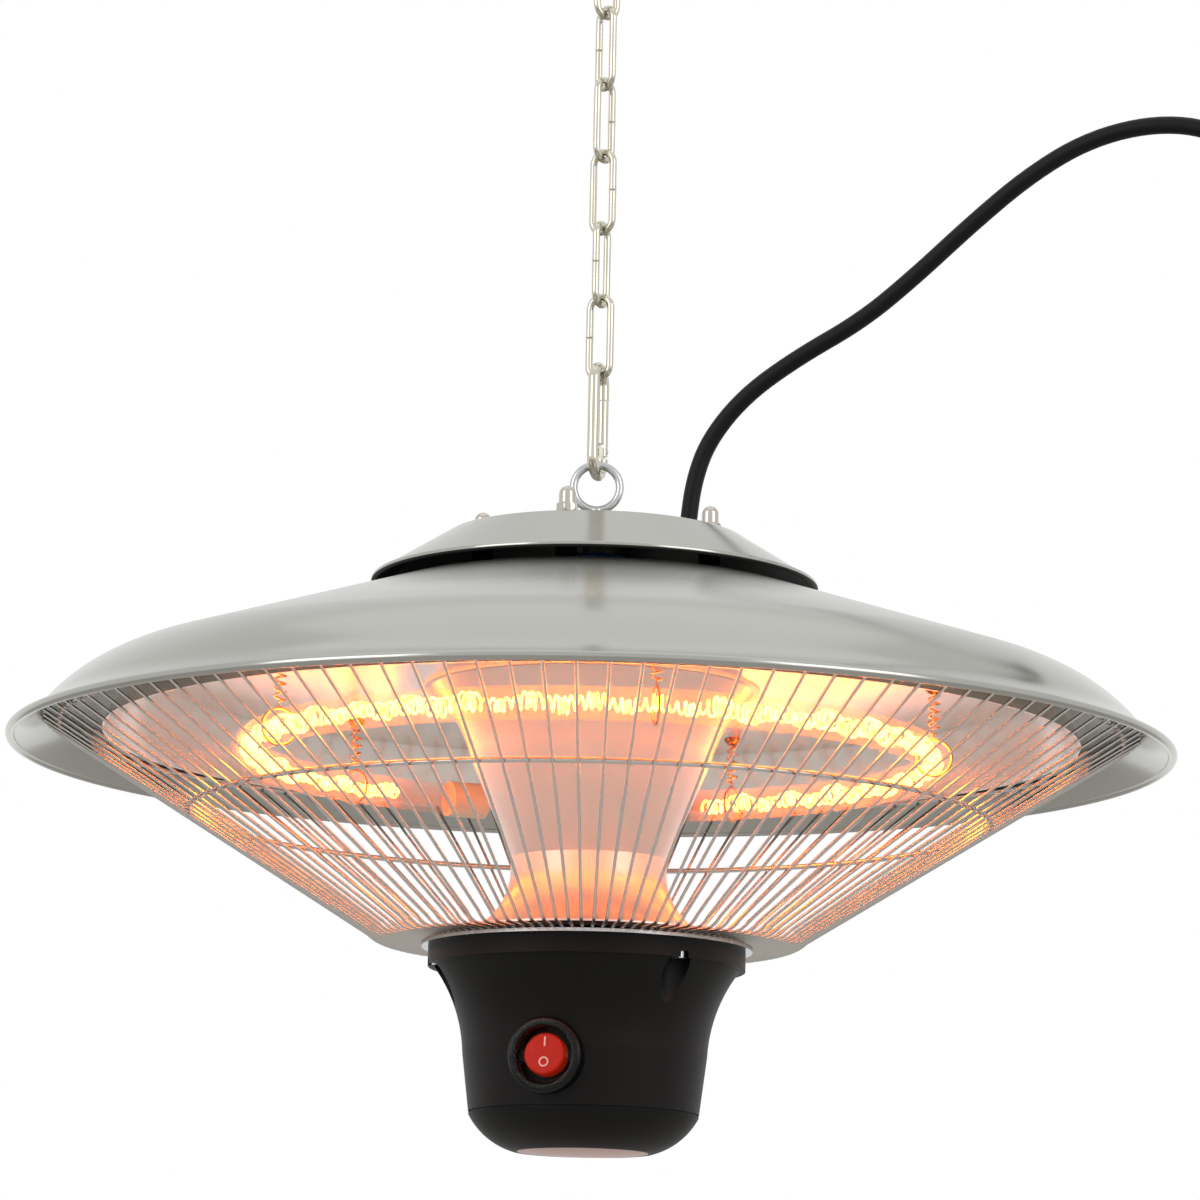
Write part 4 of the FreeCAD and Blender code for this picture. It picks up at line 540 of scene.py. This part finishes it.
def around_axis(name, source, count, first, paint, body, *replaced):
    """Copies of a mesh turned about Z by Geometry Nodes, as one plain mesh."""
    tree = bpy.data.node_groups.new(f"{name}_copies", "GeometryNodeTree")
    tree.is_modifier = True
    inputs = {"Source": "NodeSocketObject", "Count": "NodeSocketInt", "First turn": "NodeSocketFloat"}
    for label, kind in inputs.items():
        tree.interface.new_socket(label, in_out="INPUT", socket_type=kind)
    tree.interface.new_socket("Geometry", in_out="OUTPUT", socket_type="NodeSocketGeometry")
    given = add(tree, "NodeGroupInput")
    points = add(tree, "GeometryNodePoints", {"Count": given.outputs["Count"]})
    shape = add(tree, "GeometryNodeObjectInfo", {"Object": given.outputs["Source"]})
    number = add(tree, "GeometryNodeInputIndex")
    step = add(tree, "ShaderNodeMath", {0: 2 * math.pi, 1: given.outputs["Count"]}, operation="DIVIDE")
    angle = add(tree, "ShaderNodeMath", {
        0: number.outputs[0], 1: step.outputs[0], 2: given.outputs["First turn"]}, operation="MULTIPLY_ADD")
    turn = add(tree, "ShaderNodeCombineXYZ", {"Z": angle.outputs[0]})
    copies = add(tree, "GeometryNodeInstanceOnPoints", {
        "Points": points.outputs[0], "Instance": shape.outputs["Geometry"], "Rotation": turn.outputs[0]})
    real = add(tree, "GeometryNodeRealizeInstances", {"Geometry": copies.outputs[0]})
    painted = add(tree, "GeometryNodeSetMaterial", {"Geometry": real.outputs[0], "Material": paint})
    add(tree, "NodeGroupOutput", {"Geometry": painted.outputs[0]})
    holder = bpy.data.objects.new(name, bpy.data.meshes.new(name))
    bpy.context.scene.collection.objects.link(holder)
    one = bpy.data.objects.new(f"{name}_source", source)
    bpy.context.scene.collection.objects.link(one)
    modifier = holder.modifiers.new("copies", "NODES")
    modifier.node_group = tree
    sockets = {item.name: item.identifier for item in tree.interface.items_tree if item.in_out == "INPUT"}
    modifier[sockets["Source"]] = one
    modifier[sockets["Count"]] = count
    modifier[sockets["First turn"]] = first
    bpy.context.view_layer.update()
    mesh = bpy.data.meshes.new_from_object(holder.evaluated_get(bpy.context.evaluated_depsgraph_get()))
    bpy.data.objects.remove(holder)
    bpy.data.objects.remove(one)
    mesh.name = name
    finished(name, mesh, None, body, *replaced, smooth=60)
    print(name, count, "copies,", len(mesh.polygons), "faces")


wire_path = [Vector((0, -p.x, p.y + RIM)) for p in outline(GUARD_LINE, closed=False)]
wire_mesh = tube("guard_wire", wire_path, GUARD_WIRE / 2, sides=8)
half_step = math.pi / GUARD_WIRES
around_axis("bent_guard_wires", wire_mesh, GUARD_WIRES, half_step, GUARD_STEEL, "heater", "guard_wires")

# %% [markdown]
# Two hoops tie the wires together, one at the top and one half-way down. Their sizes are read from the CAD's
# boxes, so they stay where the solids are.

# %% Guard hoops
HOOP_STEPS = 200


def hoop(name, radius, height, wire, replaced):
    """A closed ring of guard wire round the axis."""
    turns = [2 * math.pi * k / HOOP_STEPS for k in range(HOOP_STEPS)]
    ring = [Vector((radius * math.sin(a), -radius * math.cos(a), height + RIM)) for a in turns]
    mesh = tube(name, ring, wire / 2, True, 12)
    finished(name, mesh, GUARD_STEEL, "heater", replaced, smooth=60)


for node_name, label in (("guard_mid_hoop", "welded_mid_hoop"), ("guard_top_hoop", "welded_top_hoop")):
    low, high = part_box(node_name)
    wire = (high.z - low.z) / MM
    hoop(label, high.x / MM - wire / 2, (low.z + high.z) / 2 / MM - RIM, wire, node_name)
print("two guard hoops")

# %% [markdown]
# ## The heating element
# A resistance wire is wound to a loose coil and pushed into a quartz tube, where it lies in waves and
# bunches. A plain helix would look like a new spring, so the path is a helix whose middle line wanders and
# whose pitch swells and shrinks, with random sizes from a fixed seed.

# %% Filament and quartz tube
TUBE_RING, TUBE_LEVEL, TUBE_RADIUS = 125.0, -1.5, 6.0
LIT_FIRST, LIT_LAST = -144.0, 160.0
TUBE_FIRST, TUBE_SPAN, TUBE_STEPS = -154, 322, 200
TURNS, TURN_STEPS, FILAMENT_WIRE = 300, 10, 0.84
WINDING, CROWDING, SAG = 2.9, 0.0014, 1.0
random.seed(4)
bunches = [random.uniform(0.75, 1.25) for _ in range(60)]


def on_ring(angle, out=0.0, up=0.0):
    """A point of the tube's middle line at an angle, moved outwards and up."""
    a = math.radians(angle)
    radius = TUBE_RING + out
    return Vector((radius * math.sin(a), -radius * math.cos(a), TUBE_LEVEL + up + RIM))


filament_points = []
for k in range(TURNS * TURN_STEPS + 1):
    share = k / (TURNS * TURN_STEPS)
    wave = share * len(bunches)
    swell = bunches[min(int(wave), len(bunches) - 1)]
    drift = CROWDING * math.sin(2 * math.pi * wave)
    size = WINDING * swell * (0.72 + 0.28 * math.sin(2 * math.pi * wave) ** 2)
    a = 2 * math.pi * k / TURN_STEPS
    angle = LIT_FIRST + (LIT_LAST - LIT_FIRST) * (share + drift)
    lift = SAG * math.sin(2 * math.pi * wave * 0.5)
    filament_points.append(on_ring(angle, size * math.cos(a), size * math.sin(a) + lift))
filament_mesh = tube("wound_filament", filament_points, FILAMENT_WIRE / 2, sides=4)
finished("wound_filament", filament_mesh, GLOW, "heater", "filament", smooth=80)
quartz_path = [on_ring(TUBE_FIRST + TUBE_SPAN * k / TUBE_STEPS) for k in range(TUBE_STEPS + 1)]
quartz_mesh = tube("bent_quartz_tube", quartz_path, TUBE_RADIUS, sides=24)
finished("bent_quartz_tube", quartz_mesh, QUARTZ_PAINTED_GLOW, "heater", "quartz_tube", smooth=60)
print("filament of", TURNS, "turns in", len(bunches), "bunches")

# %% [markdown]
# ## Small pieces
# Three insulated wires come in through the gland and run round the eye bolt to the terminal block. They
# show in the gap under the cover, so each has the colour of its job and is a piece of its own.

# %% Supply wires
SUPPLY_WIRE, SUPPLY_PITCH = 2.4, 3.2
SUPPLY_WAY = [(24, 42, 63.0, 0), (25, 10, 64.0, 0), (18, -16, 66.0, 0.7)]
BOLT_SIDE, BOLT_FRONT, BOLT_LEVEL = 2, -30, 68.5
GLAND_DEEP, WIRE_DROP = 6, 2.5
BLOCK_MIDDLE, BLOCK_PITCH, BLOCK_APPROACH, BLOCK_FRONT, BLOCK_LEVEL = -20, 7, -20, -4, 65
gland_low = gland_out * GLAND_RADIUS + UP * GLAND_SEAT - gland_way * GLAND_DEEP
gland_side = gland_out.cross(UP)
for k, color in ((-1, "red"), (0, "yellow"), (1, "blue")):
    spread = SUPPLY_PITCH * k
    entry = BLOCK_MIDDLE - BLOCK_PITCH * k
    inlet = gland_low + gland_side * spread
    way = [inlet, inlet - gland_way * WIRE_DROP]
    way += [Vector((x + spread, y - spread * lead, h)) for x, y, h, lead in SUPPLY_WAY]
    way.append(Vector((BOLT_SIDE, BOLT_FRONT - spread, BOLT_LEVEL)))
    way.append(Vector((entry, BLOCK_APPROACH - spread, BLOCK_LEVEL)))
    way.append(Vector((entry, BLOCK_FRONT, BLOCK_LEVEL)))
    mesh = tube(f"supply_wire_{color}", [p + UP * RIM for p in way], SUPPLY_WIRE / 2, kind="NURBS")
    finished(f"supply_wire_{color}", mesh, INSULATION[color], "heater", "supply_wires", smooth=60)
print("three supply wires")

# %% [markdown]
# The springs that carry the element are held by small domed rivets in the reflector. Five alike rivets are
# again copies round the axis.

# %% Spring rivets
HOOP_FIRST, RIVETS = -62.0, 5
rivet = lathe("rivet", [(0, 23.9), (3.2, 23.9), (3.2, 23.2), (0, 21.4, 3.7, 1)], 24, 0.4)
rivet.transform(Matrix.Translation((0, -TUBE_RING * MM, RIM * MM)))
rivet.shade_smooth()
around_axis("spring_rivets", rivet, RIVETS, math.radians(HOOP_FIRST), COPPER, "heater")

# %% [markdown]
# The cover is held by four cap nuts: a hexagon with rounded corners that is closed by a dome. A nut is made
# as it is in a lathe: first a round blank, then its sides are pressed in to six flats.

# %% Cap nuts
BOLT_CIRCLE, BOLT_FIRST, BOLTS = 43.0, -14.0, 4
NUT_FLATS, NUT_LOW, NUT_HEX, NUT_TOP, DOME = 7.0, 81.0, 3.6, 91.0, 3.1
SIXTH = math.pi / 3
nut_high = NUT_LOW + NUT_HEX
nut = lathe("cap_nut", [
    (0, NUT_LOW), (3.5, NUT_LOW), (4.04, NUT_LOW + 0.4), (4.04, nut_high - 0.5), (3.5, nut_high),
    (DOME, nut_high), (DOME, NUT_TOP - DOME), (0, NUT_TOP, DOME, -1)], 48, 0.3)
for corner in nut.vertices:
    off_flat = (math.atan2(corner.co.y, corner.co.x) + SIXTH / 2) % SIXTH - SIXTH / 2
    flat = NUT_FLATS / 2 * MM / math.cos(off_flat)
    reach = corner.co.xy.length
    if reach > flat:
        corner.co.xy *= flat / reach
nut.transform(Matrix.Translation((0, -BOLT_CIRCLE * MM, RIM * MM)))
nut.shade_smooth()
around_axis("domed_cap_nuts", nut, BOLTS, math.radians(BOLT_FIRST), BRIGHT_NUT, "heater", "cap_nuts")

# %% [markdown]
# The switch is a bought part: a glossy bezel with a rounded edge, and a red rocker with the two usual marks
# printed in white, a bar for on and a ring for off. An image could show them, but it would blur in a close
# view, so they are thin pieces that stand a hair proud of the rocker's face and tilt with it.

# %% Switch
SWITCH_ANGLE, SWITCH_LEVEL, SWITCH_FACE = -18.0, -114.0, 47.5
ROCKER_FRONT, ROCKER_PIVOT, ROCKER_TILT = 46.5, 43.0, 8.0
BEZEL_OUTER, BEZEL_INNER, BEZEL_DEEP, BEZEL_ROUND = 13.5, 9.8, -7.2, 1.3
BAR_SIZE, BAR_RISE = (0.6, 0.06, 3.4), 4.3
RING_INNER, RING_OUTER, RING_DROP, PAINT = 1.3, 1.8, -3.0, 0.03
to_side = Matrix.Rotation(math.radians(SWITCH_ANGLE), 4, "Z")
to_switch = to_side @ Matrix.Translation((0, 0, (SWITCH_LEVEL + RIM) * MM))
to_front = Matrix.Rotation(math.radians(90), 4, "X")
bezel = lathe("moulded_bezel", [
    (BEZEL_OUTER, BEZEL_DEEP), (BEZEL_OUTER, -BEZEL_ROUND), (12.2, 0, BEZEL_ROUND, -1), (10.9, 0),
    (10.5, -0.4, 0.4, -1), (BEZEL_INNER, -2.2), (BEZEL_INNER, BEZEL_DEEP)], 96, 0.2)
bezel.transform(to_switch @ Matrix.Translation((0, -SWITCH_FACE * MM, 0)) @ to_front)
finished("moulded_bezel", bezel, GLOSS_BLACK, "heater", "switch_bezel")
tilt = (Matrix.Translation((0, -ROCKER_PIVOT * MM, 0)) @ Matrix.Rotation(math.radians(-ROCKER_TILT), 4, "X")
        @ Matrix.Translation((0, (ROCKER_PIVOT - ROCKER_FRONT) * MM, 0)))
bar = bpy.data.meshes.new("on_mark")
work = bmesh.new()
bmesh.ops.create_cube(work, size=1.0)
bmesh.ops.scale(work, vec=Vector(BAR_SIZE) * MM, verts=work.verts)
bmesh.ops.translate(work, vec=(0, 0, BAR_RISE * MM), verts=work.verts)
work.to_mesh(bar)
work.free()
ring = lathe("off_mark", [
    (RING_INNER, -PAINT), (RING_OUTER, -PAINT), (RING_OUTER, PAINT), (RING_INNER, PAINT)], 32)
ring.transform(Matrix.Translation((0, 0, RING_DROP * MM)) @ to_front)
for mark in (bar, ring):
    mark.transform(to_switch @ tilt)
    finished(mark.name, mark, MARK, "switch_rocker")
print("bezel and switch marks")

# %% [markdown]
# The plug is moulded onto the cord. Its grip narrows towards the cord and goes over into a relief with ribs
# that lets the cord bend without a kink. The ribs are grooves in the outline, which costs fewer faces than
# cutting them from a finished plug.

# %% Plug
RELIEF_LENGTH, RELIEF_THIN, RELIEF_THICK = 24.0, 4.42, 7.0
RIBS, RIB_FIRST, RIB_PITCH, RIB_DEEP, RIB_TOP, RIB_FLOOR = 6, 3.0, 3.4, 0.8, 0.9, 0.6
GRIP, PLUG_LENGTH = 15.5, 54
plug_way = (Vector(CORD_ROUTE[-1]) - Vector(CORD_ROUTE[-2])).normalized()
ribs = []
for k in range(RIBS):
    rib = -RIB_FIRST - RIB_PITCH * k
    thick = RELIEF_THIN + (RELIEF_THICK - RELIEF_THIN) * -rib / RELIEF_LENGTH
    ribs += [(thick, rib + RIB_TOP), (thick - RIB_DEEP, rib + RIB_FLOOR),
             (thick - RIB_DEEP, rib - RIB_FLOOR), (thick, rib - RIB_TOP)]
plug = lathe("moulded_plug", [
    (0, 0), (RELIEF_THIN, 0), *ribs, (RELIEF_THICK, -RELIEF_LENGTH), (8, -RELIEF_LENGTH), (9.4, -36),
    (GRIP, -46, 11, -1), (GRIP, 1 - PLUG_LENGTH), (GRIP - 1, -PLUG_LENGTH, 1, 1), (0, -PLUG_LENGTH)], 64, 0.6)
plug.transform(Matrix.Translation((Vector(CORD_ROUTE[-1]) + UP * RIM) * MM)
               @ (-UP).rotation_difference(plug_way).to_matrix().to_4x4())
plug_piece = finished("moulded_plug", plug, RUBBER, "heater", "plug_body")
print("plug with", RIBS, "ribs")

# %% [markdown]
# ## Materials of the CAD's own pieces
# Nodes whose CAD shape is right stay, and only get the material of the real piece.

# %% Dress the remaining nodes
DRESS = {
    NICKEL: ["snap_hook", "snap_gate", "gate_rivet"],
    ZINC: ["anchor_hook", "anchor_sleeve", "anchor_washer", "anchor_nut", "eye_bolt", "eye_nuts",
           "eye_washers", "clamp_bolts", "cap_washers", "guard_flange", "housing_screws"],
    # The thin spacer ring between trumpet and guard flange is black as painted shade: the dark line there is
    # the shadow in that gap.
    BLACK: ["lower_housing", "bottom_cap", "spacer_ring", "switch_body", "receiver", "coil_tie",
            "lower_spacers", "upper_spacers"],
    RUBBER: ["cord_gland", "wire_harness"],
    RED_PAINTED_GLOW: ["rocker"],
    CLEAR: ["switch_cover"],
    LENS_PINK: ["lens"],
    CERAMIC: ["tube_end_caps"],
    RESISTANCE: ["element_leads", "tube_hoops", "hoop_springs"],
    TERMINAL: ["terminal_block"],
    BOARD: ["control_board"],
    BRASS: ["plug_pins", "switch_tabs", "rocker_pin"],
}
for paint, names in DRESS.items():
    for name in names:
        mesh = nodes[name].data
        mesh.materials.clear()
        mesh.materials.append(paint)
print("dressed", sum(len(names) for names in DRESS.values()), "nodes")

# %% [markdown]
# ## Light and background
# The photograph is a studio shot on white, with even light from all sides. So the room itself gives most of
# the light, and three weak soft lamps only add an edge here and there. What the camera sees directly, or in
# metal and glass, is plain white. The darker band down the shade's front is the mirror image of the chain
# and the cover, so it needs no lamp.

# %% Lamps, floor and background
MIDDLE = (0, 0, -0.35)
ROOM_LIGHT, WHITE_LIGHT = 0.64, 1.0
FLOOR_HALF, FLOOR_LEVEL = 6, -1.9


def lamp(name, place, size, power):
    """A soft rectangular lamp that looks at the heater; place in metres, size as width and height."""
    light = bpy.data.lights.new(name, "AREA")
    light.shape = "RECTANGLE"
    light.size, light.size_y = size
    light.energy = power
    made = bpy.data.objects.new(name, light)
    bpy.context.scene.collection.objects.link(made)
    made.location = place
    made.rotation_euler = (Vector(MIDDLE) - Vector(place)).to_track_quat("-Z", "Y").to_euler()


lamp("left_softbox", (-1.7, -1.5, 0.5), (1.2, 1.6), 14)
lamp("right_softbox", (1.7, -1.5, 0.5), (1.2, 1.6), 14)
lamp("top_softbox", (0, 0.2, 1.5), (1.8, 1.8), 3)
world = bpy.data.worlds.new("studio")
bpy.context.scene.world = world
world.use_nodes = True
tree = world.node_tree
tree.nodes.clear()
rays = add(tree, "ShaderNodeLightPath").outputs
room = add(tree, "ShaderNodeBackground", {"Color": linear("#F4F3F1"), "Strength": ROOM_LIGHT})
white = add(tree, "ShaderNodeBackground", {"Color": linear("#FFFFFF"), "Strength": WHITE_LIGHT})
mirrored = add(tree, "ShaderNodeMath", {0: rays["Is Glossy Ray"], 1: rays["Is Transmission Ray"]},
               operation="MAXIMUM")
shown = add(tree, "ShaderNodeMath", {0: rays["Is Camera Ray"], 1: mirrored.outputs[0]}, operation="MAXIMUM")
sky = add(tree, "ShaderNodeMixShader", {0: shown.outputs[0], 1: room.outputs[0], 2: white.outputs[0]})
add(tree, "ShaderNodeOutputWorld", {"Surface": sky.outputs[0]})

square = ((-1, -1), (1, -1), (1, 1), (-1, 1))
floor_corners = [(FLOOR_HALF * x, FLOOR_HALF * y, FLOOR_LEVEL) for x, y in square]
floor_mesh = bpy.data.meshes.new("floor")
floor_mesh.from_pydata(floor_corners, [], [(0, 1, 2, 3)])
floor_mesh.materials.append(grained("pale_floor", "#EDEBE8", 0.8, 16.7, 0.2))
floor = bpy.data.objects.new("floor", floor_mesh)
bpy.context.scene.collection.objects.link(floor)
bpy.context.scene.view_settings.view_transform = "Standard"
print("lamps, floor and background")
